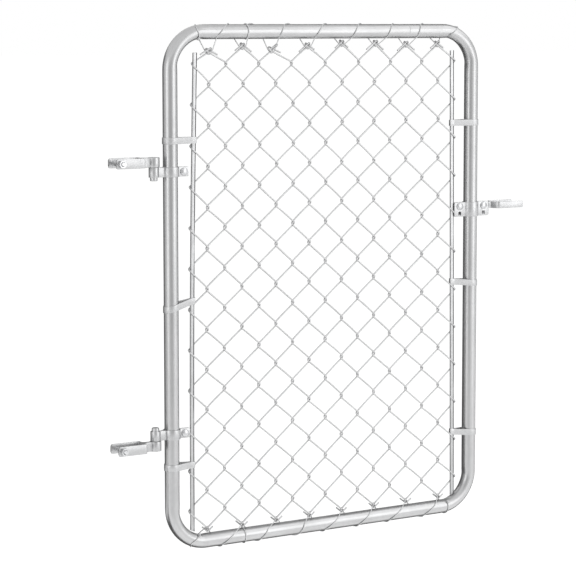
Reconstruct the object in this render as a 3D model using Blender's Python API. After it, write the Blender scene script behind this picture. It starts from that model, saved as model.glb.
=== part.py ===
"""Single swing walk gate: bent tube frame, woven diamond mesh, pin hinges and a fork latch.

Metres, +Z up, +X from the hinge side to the latch side, -Y towards the front.
The origin lies on the inner face of the lower post strap's web, where the strap meets its post,
at mid height of the strap and in the middle plane of the gate.
"""

import math

import bmesh
import bpy
from mathutils import Matrix, Vector

# Frame
FRAME_WIDTH = 0.8128
FRAME_HEIGHT = 1.1303
TUBE_DIAMETER = 0.03175
TUBE_WALL = 0.00165
BEND_RADIUS = 0.0804
TUBE_SIDES = 16
BEND_STEPS = 6
SMOOTH_ANGLE = 35

# Clearances
SEAT_GAP = 0.0003
SIDE_GAP = 0.0004
HOLE_CLEARANCE = 0.0005

# Hinges
HINGE_SPACING = 0.6052
LOWER_HINGE_HEIGHT = 0.22005
STRAP_HEIGHT = 0.021
PIN_DIAMETER = 0.0159
PIN_CLEARANCE = 0.0003
PIN_TAIL = 0.0075
PIN_BEVEL = 0.0013
PIN_SIDES = 16
BARREL_GAP = 0.0006
POST_DIAMETER = 0.0349
POST_STRAP_THICKNESS = 0.003
POST_LEG_LENGTH = 0.065
POST_BOLT_SETBACK = 0.0115
POST_BOLT_DIAMETER = 0.00953
POST_BARREL_DIAMETER = 0.025
WEB_TO_PIN = 0.0317
NECK_THICKNESS = 0.010
STRAP_CORNER_RADIUS = 0.004
STRAP_CORNER_STEPS = 3
STRAP_INNER_CHAMFER = 0.0015
PIN_TO_STILE = 0.0395
GATE_STRAP_THICKNESS = 0.0026
GATE_NECK_SPREAD = 0.010
GATE_EAR_SPREAD = 0.0056
GATE_EAR_REACH = 0.042
GATE_BOLT_REACH = 0.0300

# Tension bars, which lean in a little at the top
BAR_WIDTH = 0.0095
BAR_THICKNESS = 0.0048
LEFT_BAR_TOP_OFFSET = 0.0599
LEFT_BAR_BOTTOM_OFFSET = 0.0487
RIGHT_BAR_TOP_OFFSET = 0.0545
RIGHT_BAR_BOTTOM_OFFSET = 0.0466
BAR_TOP_GAP = 0.028
BAR_BOTTOM_GAP = 0.0015

# Diamond mesh
DIAMONDS_WIDE = 8
DIAMONDS_HIGH = 12
MESH_WIRE = 0.0024
MESH_TOP_GAP = 0.0092
MESH_BOTTOM_GAP = 0.0062

# Tension bands: the picket end that each sits above, and how far above it
BAND_HEIGHT = 0.014
BAND_THICKNESS = 0.0013
BAND_SLIT = 0.0012
LEFT_BANDS = ((5, 0.0150), (13, 0.0138), (21, 0.0165))
RIGHT_BANDS = ((5, 0.0350), (13, 0.0165), (21, 0.0167))

# Lacing wires
LACE_WIRE = 0.0022
LACE_STEPS = 12
LACE_EYE_DROP = 0.0065
LACE_END_PITCH = 0.036
LACE_TRIM = 2

# Latch
LATCH_DROP = 0.409
CLAMP_HEIGHT = 0.033
CLAMP_THICKNESS = 0.0026
CLAMP_EAR_REACH = 0.0485
CLAMP_BOLT_REACH = 0.0335
CLAMP_BOLT_RISE = 0.007
CLAMP_SPARE_DROP = 0.0095
FORK_THICKNESS = 0.0062
FORK_HEEL = 0.0075
FORK_REACH = 0.1015
FLARE_START = 0.022
FLARE_END = 0.031
TINE_HEIGHT = 0.015
TINE_THICKNESS = 0.003
TINE_OPENING = 0.041

# Carriage bolts and nuts
BOLT_DIAMETER = 0.00794
BOLT_SIDES = 12
HEAD_SPREAD = 2.14
HEAD_RISE = 0.52
HEAD_EDGE = 0.12
HEAD_STEPS = 3
NUT_SPREAD = 1.85
NUT_RISE = 0.86
BOLT_TAIL = 0.003

# Places worked out from the sizes
TUBE_RADIUS = TUBE_DIAMETER / 2
FACET = math.cos(math.pi / TUBE_SIDES)
PIN_X = WEB_TO_PIN
LEFT_X = PIN_X + PIN_TO_STILE
RIGHT_X = LEFT_X + FRAME_WIDTH - TUBE_DIAMETER
BOTTOM_Z = -LOWER_HINGE_HEIGHT
TOP_Z = BOTTOM_Z + FRAME_HEIGHT - TUBE_DIAMETER
HINGE_STEP = STRAP_HEIGHT + BARREL_GAP
BAR_TOP_Z = TOP_Z - TUBE_RADIUS - BAR_TOP_GAP
MESH_TOP_Z = TOP_Z - TUBE_RADIUS - MESH_TOP_GAP
MESH_BOTTOM_Z = BOTTOM_Z + TUBE_RADIUS + MESH_BOTTOM_GAP
ROW_STEP = (MESH_TOP_Z - MESH_BOTTOM_Z) / (2 * DIAMONDS_HIGH)
CLAMP_SEAT = FORK_THICKNESS / 2 + SIDE_GAP
CLAMP_Z = TOP_Z - LATCH_DROP
LATCH_BOLT_Z = CLAMP_Z + CLAMP_BOLT_RISE
FORK_X = RIGHT_X + CLAMP_BOLT_REACH


def clear_scene():
    """Remove every object that the scene starts with."""
    for thing in list(bpy.data.objects):
        bpy.data.objects.remove(thing, do_unlink=True)


def make_material(name, colour, roughness):
    """A galvanised metal with its own grey."""
    material = bpy.data.materials.new(name)
    material.use_nodes = True
    shader = material.node_tree.nodes["Principled BSDF"]
    shader.inputs["Base Color"].default_value = (*colour, 1.0)
    shader.inputs["Roughness"].default_value = roughness
    shader.inputs["Metallic"].default_value = 0.85
    return material


def make_object(name, bm, place, material, smooth=False):
    """Turn a bmesh in local coordinates into a named object at its place."""
    bmesh.ops.recalc_face_normals(bm, faces=bm.faces)
    mesh = bpy.data.meshes.new(name)
    bm.to_mesh(mesh)
    bm.free()
    mesh.materials.append(material)
    if smooth:
        mesh.shade_smooth()
        mesh.set_sharp_from_angle(angle=math.radians(SMOOTH_ANGLE))
    piece = bpy.data.objects.new(name, mesh)
    piece.location = place
    bpy.context.scene.collection.objects.link(piece)
    return piece


def hang_on(empty, pieces):
    """Parent pieces to the empty on their joint's axis, without moving them."""
    for piece in pieces:
        piece.parent = empty
        piece.matrix_parent_inverse = Matrix.Translation(-empty_place(empty))


def empty_place(empty):
    """World place of an axis empty, whose parents only move it."""
    place = empty.matrix_basis.translation.copy()
    if empty.parent:
        place += empty_place(empty.parent) + empty.matrix_parent_inverse.translation
    return place


def axis_empty(name, place):
    """An empty that marks a joint's axis."""
    empty = bpy.data.objects.new(name, None)
    empty.empty_display_size = 0.03
    empty.location = place
    bpy.context.scene.collection.objects.link(empty)
    return empty


def make_cutter(name, radius, length, sides, place, along_y):
    """A cylinder that only cuts: along Y for a bolt hole, along Z for a bore."""
    bm = bmesh.new()
    bmesh.ops.create_cone(
        bm, cap_ends=True, segments=sides, radius1=radius, radius2=radius, depth=length
    )
    if along_y:
        bmesh.ops.rotate(bm, matrix=Matrix.Rotation(math.radians(90), 3, "X"), verts=bm.verts)
    mesh = bpy.data.meshes.new(name)
    bm.to_mesh(mesh)
    bm.free()
    cutter = bpy.data.objects.new(name, mesh)
    cutter.location = place
    cutter.hide_render = True
    cutter.display_type = "WIRE"
    bpy.context.scene.collection.objects.link(cutter)
    return cutter


def bore(piece, cutter):
    """Cut a hole through a piece."""
    cut = piece.modifiers.new("hole", "BOOLEAN")
    cut.operation = "DIFFERENCE"
    cut.solver = "EXACT"
    cut.object = cutter


def hole_radius(diameter):
    """Radius of a hole's corners, so that its flats clear a shank by the hole clearance."""
    return (diameter / 2 + HOLE_CLEARANCE) / math.cos(math.pi / BOLT_SIDES)


def arc(centre, radius, start, end, steps):
    """Points on an arc in plan, from one angle to another in degrees, both included."""
    points = []
    for step in range(steps + 1):
        angle = math.radians(start + (end - start) * step / steps)
        points.append((centre[0] + radius * math.cos(angle), centre[1] + radius * math.sin(angle)))
    return points


def tube(name, stations, material):
    """A hollow tube through stations, each a centre and a unit normal in the gate's plane."""
    bm = bmesh.new()
    across = Vector((0, 1, 0))
    rings = []
    for centre, normal in stations:
        pair = []
        for radius in (TUBE_RADIUS, TUBE_RADIUS - TUBE_WALL):
            ring = []
            for side in range(TUBE_SIDES):
                angle = 2 * math.pi * side / TUBE_SIDES
                offset = normal * math.cos(angle) + across * math.sin(angle)
                ring.append(bm.verts.new(centre + offset * radius))
            pair.append(ring)
        rings.append(pair)
    for side in range(TUBE_SIDES):
        after = (side + 1) % TUBE_SIDES
        for (outer_a, inner_a), (outer_b, inner_b) in zip(rings, rings[1:]):
            bm.faces.new((outer_a[side], outer_a[after], outer_b[after], outer_b[side]))
            bm.faces.new((inner_a[side], inner_b[side], inner_b[after], inner_a[after]))
        for outer, inner in (rings[0], rings[-1]):
            bm.faces.new((outer[side], inner[side], inner[after], outer[after]))
    return make_object(name, bm, (0, 0, 0), material, smooth=True)


def stile(name, x, material):
    """A straight upright between the bends of the two rails."""
    low = BOTTOM_Z + BEND_RADIUS + SEAT_GAP
    high = TOP_Z - BEND_RADIUS - SEAT_GAP
    normal = Vector((1, 0, 0))
    return tube(name, [(Vector((x, 0, low)), normal), (Vector((x, 0, high)), normal)], material)


def rail(name, z, outward, material):
    """A rail with the quarter bend at each end; outward is 1 for the top rail, -1 below."""
    stations = []
    for x, side in ((LEFT_X, -1), (RIGHT_X, 1)):
        centre = Vector((x - side * BEND_RADIUS, 0, z - outward * BEND_RADIUS))
        turns = range(BEND_STEPS + 1) if side < 0 else range(BEND_STEPS, -1, -1)
        for turn in turns:
            angle = math.pi / 2 * turn / BEND_STEPS
            normal = Vector((side * math.cos(angle), 0, outward * math.sin(angle)))
            stations.append((centre + normal * BEND_RADIUS, normal))
    return tube(name, stations, material)


def prism(name, outline, height, place, material):
    """A plan outline raised to a height, centred on its place."""
    bm = bmesh.new()
    ring = [bm.verts.new((x, y, -height / 2)) for x, y in outline]
    face = bm.faces.new(ring)
    raised = bmesh.ops.extrude_face_region(bm, geom=[face])
    top = [item for item in raised["geom"] if isinstance(item, bmesh.types.BMVert)]
    bmesh.ops.translate(bm, verts=top, vec=(0, 0, height))
    return make_object(name, bm, place, material)


def ribbon(name, path, thickness, height, place, material):
    """Flat strip bent along a path in plan and thickened evenly to both sides."""
    bm = bmesh.new()
    low = [bm.verts.new((x, y, -height / 2)) for x, y in path]
    edges = [bm.edges.new(pair) for pair in zip(low, low[1:])]
    raised = bmesh.ops.extrude_edge_only(bm, edges=edges)
    top = [item for item in raised["geom"] if isinstance(item, bmesh.types.BMVert)]
    bmesh.ops.translate(bm, verts=top, vec=(0, 0, height))
    piece = make_object(name, bm, place, material)
    thick = piece.modifiers.new("thickness", "SOLIDIFY")
    thick.thickness = thickness
    thick.offset = 0
    thick.use_even_offset = True
    return piece


def turned(name, profile, sides, place, rotation, material):
    """A piece turned about its own Z axis from a profile of radius and height."""
    bm = bmesh.new()
    chain = [bm.verts.new((radius, 0, height)) for radius, height in profile]
    edges = [bm.edges.new(pair) for pair in zip(chain, chain[1:])]
    bmesh.ops.spin(
        bm, geom=chain + edges, cent=(0, 0, 0), axis=(0, 0, 1), angle=2 * math.pi,
        steps=sides, use_merge=True, use_duplicate=False,
    )
    bmesh.ops.remove_doubles(bm, verts=bm.verts, dist=1e-6)
    piece = make_object(name, bm, place, material, smooth=True)
    piece.rotation_euler = rotation
    return piece


def carriage_bolt(name, diameter, grip, seat, facing, material):
    """A round-headed bolt along Y. facing is -1 for a head in front, 1 for a head behind."""
    head = diameter * HEAD_SPREAD / 2
    rise = diameter * HEAD_RISE
    edge = rise * HEAD_EDGE
    shank = diameter / 2
    end = -(grip + diameter * NUT_RISE + 2 * SEAT_GAP + BOLT_TAIL)
    profile = []
    for step in range(HEAD_STEPS + 1):
        angle = math.pi / 2 * step / HEAD_STEPS
        profile.append((head * math.sin(angle), edge + (rise - edge) * math.cos(angle)))
    profile += [(head, 0), (shank, 0), (shank, end), (0, end)]
    turn = (math.radians(-90 * facing), 0, 0)
    return turned(name, profile, BOLT_SIDES, seat, turn, material)


def hex_nut(name, diameter, seat, facing, material):
    """A hexagon nut whose inner face lies on its seat and which rises along facing * Y."""
    rise = diameter * NUT_RISE
    bm = bmesh.new()
    corner = diameter * NUT_SPREAD / 2
    bmesh.ops.create_cone(
        bm, cap_ends=True, segments=6, radius1=corner, radius2=corner, depth=rise
    )
    bmesh.ops.rotate(bm, matrix=Matrix.Rotation(math.radians(90), 3, "X"), verts=bm.verts)
    place = Vector(seat) + Vector((0, facing * rise / 2, 0))
    piece = make_object(name, bm, place, material)
    radius = (diameter / 2 + SEAT_GAP) / math.cos(math.pi / BOLT_SIDES)
    cutter = make_cutter(name + "_thread", radius, 2 * rise, BOLT_SIDES, place, True)
    bore(piece, cutter)
    return piece


def bolted(prefix, diameter, x, z, half_grip, head_side, material):
    """A carriage bolt across the gate's plane with its nut, head on head_side."""
    grip = 2 * (half_grip + SEAT_GAP)
    head_seat = (x, head_side * grip / 2, z)
    nut_seat = (x, -head_side * grip / 2, z)
    bolt = carriage_bolt(prefix + "_bolt", diameter, grip, head_seat, head_side, material)
    nut = hex_nut(prefix + "_nut", diameter, nut_seat, -head_side, material)
    return [bolt, nut]


def hug(half_spread, thickness, near, far, front):
    """Path of a strap over one side of the tube, from plan x near to plan x far.

    half_spread is where the flats before and after the tube lie. front is -1 or 1.
    """
    radius = TUBE_RADIUS + (SEAT_GAP + thickness / 2) / FACET
    start = math.degrees(math.asin(half_spread[0] / radius))
    end = math.degrees(math.asin(half_spread[1] / radius))
    step = 360 / TUBE_SIDES
    angles = [180 - start]
    angles += [180 - step * turn for turn in range(1, TUBE_SIDES // 2)]
    angles += [end]
    path = [(near, front * half_spread[0])]
    for angle in angles:
        rad = math.radians(angle)
        path.append((radius * math.cos(rad), front * radius * math.sin(rad)))
    path.append((far, front * half_spread[1]))
    return path


def post_strap(name, z, material):
    """Strap bent to a U round the post, with its web, neck and pin barrel in one piece."""
    half = POST_DIAMETER / 2
    outer = half + POST_STRAP_THICKNESS
    web = POST_STRAP_THICKNESS
    corner = STRAP_CORNER_RADIUS
    chamfer = STRAP_INNER_CHAMFER
    neck = NECK_THICKNESS / 2
    barrel = POST_BARREL_DIAMETER / 2
    neck_turn = math.degrees(math.asin(neck / barrel))
    side = [(-POST_LEG_LENGTH, outer)]
    side += [(-POST_LEG_LENGTH, half), (-chamfer, half), (0, half - chamfer)]
    outline = list(side)
    outline += [(x, -y) for x, y in reversed(side)]
    outline += arc((web - corner, corner - outer), corner, 270, 360, STRAP_CORNER_STEPS)
    outline += [(web, -neck)]
    outline += arc((PIN_X, 0), barrel, neck_turn - 180, 180 - neck_turn, PIN_SIDES - 2)
    outline += [(web, neck)]
    outline += arc((web - corner, outer - corner), corner, 0, 90, STRAP_CORNER_STEPS)
    piece = prism(name, outline, STRAP_HEIGHT, (0, 0, z), material)
    bore_radius = (PIN_DIAMETER / 2 + SEAT_GAP) / math.cos(math.pi / PIN_SIDES)
    place = (PIN_X, 0, z)
    bore(piece, make_cutter(name + "_bore", bore_radius, 2 * STRAP_HEIGHT, PIN_SIDES, place, False))
    place = (POST_BOLT_SETBACK - POST_LEG_LENGTH, 0, z)
    radius = hole_radius(POST_BOLT_DIAMETER)
    bore(piece, make_cutter(name + "_hole", radius, 4 * outer, BOLT_SIDES, place, True))
    return piece


def post_hinge(prefix, z, pin_way, strap_material, bolt_material):
    """The post's half of a hinge. pin_way is 1 where the pin stands up, -1 where it hangs."""
    strap = post_strap(prefix + "_post_hinge_strap", z, strap_material)
    radius = PIN_DIAMETER / 2
    length = STRAP_HEIGHT + HINGE_STEP + PIN_TAIL
    profile = [
        (0, 0),
        (radius, 0),
        (radius, length - PIN_BEVEL),
        (radius - PIN_BEVEL, length),
        (0, length),
    ]
    foot = (PIN_X, 0, z - pin_way * STRAP_HEIGHT / 2)
    turn = (0 if pin_way > 0 else math.pi, 0, 0)
    pin = turned(prefix + "_hinge_pin", profile, PIN_SIDES, foot, turn, bolt_material)
    x = POST_BOLT_SETBACK - POST_LEG_LENGTH
    half_grip = POST_DIAMETER / 2 + POST_STRAP_THICKNESS
    fixing = bolted(prefix + "_post_hinge", POST_BOLT_DIAMETER, x, z, half_grip, 1, bolt_material)
    return [strap, pin] + fixing


def gate_hinge(prefix, z, strap_material, bolt_material):
    """The gate's half of a hinge: a strap folded round the pin and over the stile."""
    thickness = GATE_STRAP_THICKNESS
    pin_flat = math.cos(math.pi / PIN_SIDES)
    barrel = (PIN_DIAMETER / 2 + PIN_CLEARANCE + thickness / 2) / pin_flat
    neck = GATE_NECK_SPREAD / 2
    turn = math.degrees(math.asin(neck / barrel))
    neck_x = -PIN_TO_STILE + math.sqrt(barrel**2 - neck**2)
    spread = (neck, GATE_EAR_SPREAD / 2)
    front = hug(spread, thickness, neck_x, GATE_EAR_REACH, -1)
    back = hug(spread, thickness, neck_x, GATE_EAR_REACH, 1)
    ring = arc((-PIN_TO_STILE, 0), barrel, 360 - turn, turn, PIN_SIDES - 2)
    path = list(reversed(front)) + ring[1:-1] + back
    name = prefix + "_gate_hinge_strap"
    strap = ribbon(name, path, thickness, STRAP_HEIGHT, (LEFT_X, 0, z), strap_material)
    half_grip = GATE_EAR_SPREAD / 2 + thickness / 2
    x = LEFT_X + GATE_BOLT_REACH
    radius = hole_radius(BOLT_DIAMETER)
    bore(strap, make_cutter(name + "_hole", radius, 6 * half_grip, BOLT_SIDES, (x, 0, z), True))
    fixing = bolted(prefix + "_gate_hinge", BOLT_DIAMETER, x, z, half_grip, -1, bolt_material)
    return [strap] + fixing


def bend_floor(offset):
    """Height of the bottom bend's inner surface at a plan offset from its stile's centre line."""
    inner = BEND_RADIUS - TUBE_RADIUS
    run = max(0.0, BEND_RADIUS - offset)
    return BOTTOM_Z + BEND_RADIUS - math.sqrt(inner**2 - run**2)


BAR_BOTTOM_Z = BAR_BOTTOM_GAP + max(
    bend_floor(LEFT_BAR_BOTTOM_OFFSET - BAR_WIDTH / 2),
    bend_floor(RIGHT_BAR_BOTTOM_OFFSET - BAR_WIDTH / 2),
)


def bar_x(side, z):
    """Centre of a tension bar at a height; side is -1 for the left bar, 1 for the right."""
    share = (z - BAR_BOTTOM_Z) / (BAR_TOP_Z - BAR_BOTTOM_Z)
    if side < 0:
        lean = LEFT_BAR_TOP_OFFSET - LEFT_BAR_BOTTOM_OFFSET
        return LEFT_X + LEFT_BAR_BOTTOM_OFFSET + lean * share
    lean = RIGHT_BAR_TOP_OFFSET - RIGHT_BAR_BOTTOM_OFFSET
    return RIGHT_X - RIGHT_BAR_BOTTOM_OFFSET - lean * share


def tension_bar(name, side, material):
    """A flat bar that stretches one edge of the mesh, leaning with the bar's two offsets."""
    middle = Vector((bar_x(side, (BAR_TOP_Z + BAR_BOTTOM_Z) / 2), 0, (BAR_TOP_Z + BAR_BOTTOM_Z) / 2))
    bm = bmesh.new()
    bmesh.ops.create_cube(bm, size=1)
    bmesh.ops.scale(bm, verts=bm.verts, vec=(BAR_WIDTH, BAR_THICKNESS, BAR_TOP_Z - BAR_BOTTOM_Z))
    for corner in bm.verts:
        corner.co.x += bar_x(side, middle.z + corner.co.z) - middle.x
    return make_object(name, bm, middle, material)


def tension_band(name, side, knot, rise, material):
    """A thin strap round the stile, drawn in over the bar and hooked round its inner edge."""
    z = MESH_TOP_Z - knot * ROW_STEP + rise
    stile_x = LEFT_X if side < 0 else RIGHT_X
    reach = abs(bar_x(side, z) - stile_x) + BAR_WIDTH / 2 + SIDE_GAP + BAND_THICKNESS / 2
    half = BAR_THICKNESS / 2 + SEAT_GAP + BAND_THICKNESS / 2
    radius = TUBE_RADIUS + (SEAT_GAP + BAND_THICKNESS / 2) / FACET
    shoulder = (reach - BAR_WIDTH, half)
    ring = arc((0, 0), radius, 0, 180, TUBE_SIDES // 2)
    touch = min(ring, key=lambda spot: math.atan2(spot[1] - half, spot[0] - shoulder[0]) % math.tau)
    path = [(reach, BAND_SLIT / 2), (reach, half), shoulder]
    path += ring[ring.index(touch):-1]
    path += [(-radius, 0)]
    path += [(x, -y) for x, y in reversed(path[:-1])]
    path = [(-side * x, y) for x, y in path]
    return ribbon(name, path, BAND_THICKNESS, BAND_HEIGHT, (stile_x, 0, z), material)


def diamond_mesh(name, material):
    """The woven panel as one flat lattice: fused where its wires cross, square in section."""
    columns = 2 * DIAMONDS_WIDE
    rows = 2 * DIAMONDS_HIGH
    middle = (MESH_TOP_Z + MESH_BOTTOM_Z) / 2
    column_step = (bar_x(1, middle) - bar_x(-1, middle) - BAR_WIDTH) / columns
    slope = math.atan2(ROW_STEP, column_step)
    reach_x = MESH_WIRE / 2 / math.sin(slope)
    reach_z = MESH_WIRE / 2 / math.cos(slope)
    edge = BAR_WIDTH / 2 + SEAT_GAP + reach_x
    bm = bmesh.new()
    knots = {}
    for row in range(rows + 1):
        z = MESH_TOP_Z - row * ROW_STEP
        left = bar_x(-1, z) + edge
        right = bar_x(1, z) - edge
        for column in range((row + 1) % 2, columns + 1, 2):
            x = left + (right - left) * column / columns
            y = -MESH_WIRE / 2
            knots[column, row] = {
                "north": bm.verts.new((x, y, z + reach_z)),
                "east": bm.verts.new((x + reach_x, y, z)),
                "south": bm.verts.new((x, y, z - reach_z)),
                "west": bm.verts.new((x - reach_x, y, z)),
            }
    for (column, row), knot in knots.items():
        bm.faces.new((knot["north"], knot["west"], knot["south"], knot["east"]))
        right = knots.get((column + 1, row + 1))
        left = knots.get((column - 1, row + 1))
        if right:
            bm.faces.new((knot["east"], knot["south"], right["west"], right["north"]))
        if left:
            bm.faces.new((knot["south"], knot["west"], left["north"], left["east"]))
    raised = bmesh.ops.extrude_face_region(bm, geom=bm.faces[:])
    back = [item for item in raised["geom"] if isinstance(item, bmesh.types.BMVert)]
    bmesh.ops.translate(bm, verts=back, vec=(0, MESH_WIRE, 0))
    return make_object(name, bm, (0, 0, 0), material)


def knot_xs(z, columns):
    """Plan places of the mesh's end knots along a rail."""
    left = bar_x(-1, z) + BAR_WIDTH / 2 + SEAT_GAP
    right = bar_x(1, z) - BAR_WIDTH / 2 - SEAT_GAP
    return [left + (right - left) * column / columns for column in range(1, columns, 2)]


def rail_frame(x, z, outward):
    """Centre and outward normal of a rail, bends included, at a plan x."""
    run = max(0.0, LEFT_X + BEND_RADIUS - x, x - (RIGHT_X - BEND_RADIUS))
    side = -1 if x < (LEFT_X + RIGHT_X) / 2 else 1
    lean = math.asin(run / BEND_RADIUS)
    drop = BEND_RADIUS * (1 - math.cos(lean))
    centre = Vector((x, 0, z - outward * drop))
    return centre, Vector((side * math.sin(lean), 0, outward * math.cos(lean)))


def lacing_wire(name, z, outward, gap, material):
    """A wire wound along a rail that takes up the mesh's end knots, one a turn."""
    radius = (TUBE_RADIUS + SEAT_GAP + LACE_WIRE / 2) / math.cos(math.pi / LACE_STEPS)
    eye = TUBE_RADIUS + gap + LACE_EYE_DROP
    knots = knot_xs(z - outward * (TUBE_RADIUS + gap), 2 * DIAMONDS_WIDE)
    stops = [knots[0] - LACE_END_PITCH] + knots + [knots[-1] + LACE_END_PITCH]
    points = []
    for start, end in zip(stops, stops[1:]):
        for step in range(LACE_STEPS):
            turn = 2 * math.pi * step / LACE_STEPS
            points.append((start + (end - start) * step / LACE_STEPS, turn))
    points = points[LACE_TRIM:1 - LACE_TRIM]
    curve = bpy.data.curves.new(name, "CURVE")
    curve.dimensions = "3D"
    curve.bevel_depth = LACE_WIRE / 2
    curve.bevel_resolution = 1
    curve.use_fill_caps = True
    line = curve.splines.new("POLY")
    line.points.add(len(points) - 1)
    for point, (x, turn) in zip(line.points, points):
        centre, normal = rail_frame(x, z, outward)
        inward = math.cos(turn)
        height = -inward * (eye if inward > 0 else radius)
        spot = centre + normal * height + Vector((0, -outward * radius * math.sin(turn), 0))
        point.co = (*spot, 1)
    curve.materials.append(material)
    piece = bpy.data.objects.new(name, curve)
    bpy.context.scene.collection.objects.link(piece)
    return piece


def clamp_plate(name, front, material):
    """One half of the latch's clamp, pressed to sit over the stile, with four bolt holes."""
    middle = CLAMP_SEAT + CLAMP_THICKNESS / 2
    path = hug((middle, middle), CLAMP_THICKNESS, -CLAMP_EAR_REACH, CLAMP_EAR_REACH, front)
    plate = ribbon(name, path, CLAMP_THICKNESS, CLAMP_HEIGHT, (RIGHT_X, 0, CLAMP_Z), material)
    radius = hole_radius(BOLT_DIAMETER)
    for side in (-1, 1):
        for rise in (CLAMP_BOLT_RISE, -CLAMP_SPARE_DROP):
            place = (RIGHT_X + side * CLAMP_BOLT_REACH, front * middle, CLAMP_Z + rise)
            tag = "_hole_" + str(len(plate.modifiers))
            length = 3 * CLAMP_THICKNESS
            bore(plate, make_cutter(name + tag, radius, length, BOLT_SIDES, place, True))
    return plate


def latch_fork(name, material):
    """The lifting fork: a flat heel on the pivot bolt that flares into two tines."""
    heel = FORK_THICKNESS / 2
    inner = TINE_OPENING / 2
    outer = inner + TINE_THICKNESS
    run = FLARE_END - FLARE_START
    climb = outer - heel
    shift = TINE_THICKNESS * math.hypot(run, climb) / climb
    crotch = FLARE_START + shift - heel * run / climb
    inner_corner = FLARE_START + shift + (inner - heel) * run / climb
    side = [
        (-FORK_HEEL, heel),
        (FLARE_START, heel),
        (FLARE_END, outer),
        (FORK_REACH, outer),
        (FORK_REACH, inner),
        (inner_corner, inner),
    ]
    outline = side + [(crotch, 0)] + [(x, -y) for x, y in reversed(side)]
    fork = prism(name, outline, TINE_HEIGHT, (FORK_X, 0, LATCH_BOLT_Z), material)
    place = (FORK_X, 0, LATCH_BOLT_Z)
    radius = hole_radius(BOLT_DIAMETER)
    bore(fork, make_cutter(name + "_hole", radius, 4 * heel, BOLT_SIDES, place, True))
    return fork


def main():
    """Build the gate and parent its moving pieces to their axes."""
    clear_scene()
    tube_metal = make_material("galvanised_tube", (0.63, 0.65, 0.67), 0.35)
    bar_metal = make_material("galvanised_bar", (0.58, 0.60, 0.62), 0.4)
    band_metal = make_material("galvanised_band", (0.68, 0.69, 0.71), 0.35)
    wire_metal = make_material("galvanised_wire", (0.66, 0.67, 0.69), 0.35)
    fitting_metal = make_material("galvanised_fitting", (0.70, 0.71, 0.72), 0.4)
    bolt_metal = make_material("plated_bolt", (0.72, 0.73, 0.75), 0.3)

    upper_z = HINGE_SPACING
    post_hinge("lower", 0, 1, fitting_metal, bolt_metal)
    post_hinge("upper", upper_z, -1, fitting_metal, bolt_metal)

    leaf = [
        stile("left_stile", LEFT_X, tube_metal),
        stile("right_stile", RIGHT_X, tube_metal),
        rail("top_rail", TOP_Z, 1, tube_metal),
        rail("bottom_rail", BOTTOM_Z, -1, tube_metal),
        diamond_mesh("diamond_mesh", wire_metal),
        tension_bar("left_tension_bar", -1, bar_metal),
        tension_bar("right_tension_bar", 1, bar_metal),
        lacing_wire("top_lacing_wire", TOP_Z, 1, MESH_TOP_GAP, wire_metal),
        lacing_wire("bottom_lacing_wire", BOTTOM_Z, -1, MESH_BOTTOM_GAP, wire_metal),
    ]
    for label, (left, right) in zip(("upper", "middle", "lower"), zip(LEFT_BANDS, RIGHT_BANDS)):
        leaf.append(tension_band("left_tension_band_" + label, -1, *left, band_metal))
        leaf.append(tension_band("right_tension_band_" + label, 1, *right, band_metal))
    leaf += gate_hinge("lower", HINGE_STEP, fitting_metal, bolt_metal)
    leaf += gate_hinge("upper", upper_z - HINGE_STEP, fitting_metal, bolt_metal)
    leaf.append(clamp_plate("latch_front_clamp", -1, fitting_metal))
    leaf.append(clamp_plate("latch_back_clamp", 1, fitting_metal))
    grip = CLAMP_SEAT + CLAMP_THICKNESS
    inner_x = RIGHT_X - CLAMP_BOLT_REACH
    leaf += bolted("latch_inner", BOLT_DIAMETER, inner_x, LATCH_BOLT_Z, grip, -1, bolt_metal)
    leaf += bolted("latch_pivot", BOLT_DIAMETER, FORK_X, LATCH_BOLT_Z, grip, -1, bolt_metal)

    swing = axis_empty("gate_swing_axis", (PIN_X, 0, 0))
    lift = axis_empty("fork_lift_axis", (FORK_X, 0, LATCH_BOLT_Z))
    hang_on(swing, leaf + [lift])
    hang_on(lift, [latch_fork("latch_fork", fitting_metal)])


main()
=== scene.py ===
"""Looks of a single swing walk gate of bent tube and woven diamond mesh.

Metres, +Z up, +X from the hinge side to the latch side, -Y towards the front. The origin is on
the inner face of the lower post strap's web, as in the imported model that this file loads.
"""

import logging
import math
import random
from collections.abc import Iterable, Sequence
from dataclasses import dataclass, field
from enum import Enum
from itertools import accumulate

import bmesh
import bpy
from bmesh.types import BMesh, BMVert
from bpy.types import Material, Node, NodeSocket, NodeTree, Object
from mathutils import Matrix, Vector


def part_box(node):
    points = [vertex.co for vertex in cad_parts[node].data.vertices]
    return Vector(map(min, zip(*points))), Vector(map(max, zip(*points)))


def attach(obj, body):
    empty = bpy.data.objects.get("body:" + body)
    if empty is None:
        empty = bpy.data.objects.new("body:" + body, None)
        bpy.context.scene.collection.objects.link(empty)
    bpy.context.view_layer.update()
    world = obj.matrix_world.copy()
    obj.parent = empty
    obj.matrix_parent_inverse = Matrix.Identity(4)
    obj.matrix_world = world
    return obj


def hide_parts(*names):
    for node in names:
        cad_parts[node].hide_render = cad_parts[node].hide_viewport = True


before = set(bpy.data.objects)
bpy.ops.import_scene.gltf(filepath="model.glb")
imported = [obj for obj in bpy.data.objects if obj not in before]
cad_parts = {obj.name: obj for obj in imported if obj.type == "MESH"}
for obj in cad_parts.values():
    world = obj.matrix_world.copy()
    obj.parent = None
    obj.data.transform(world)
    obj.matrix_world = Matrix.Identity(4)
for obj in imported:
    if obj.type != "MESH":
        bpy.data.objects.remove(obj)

LOG = logging.getLogger("gate")
MM = 0.001
CREASE = 32.0
BACK = Vector((0, 1, 0)).freeze()
UP = Vector((0, 0, 1)).freeze()

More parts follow.
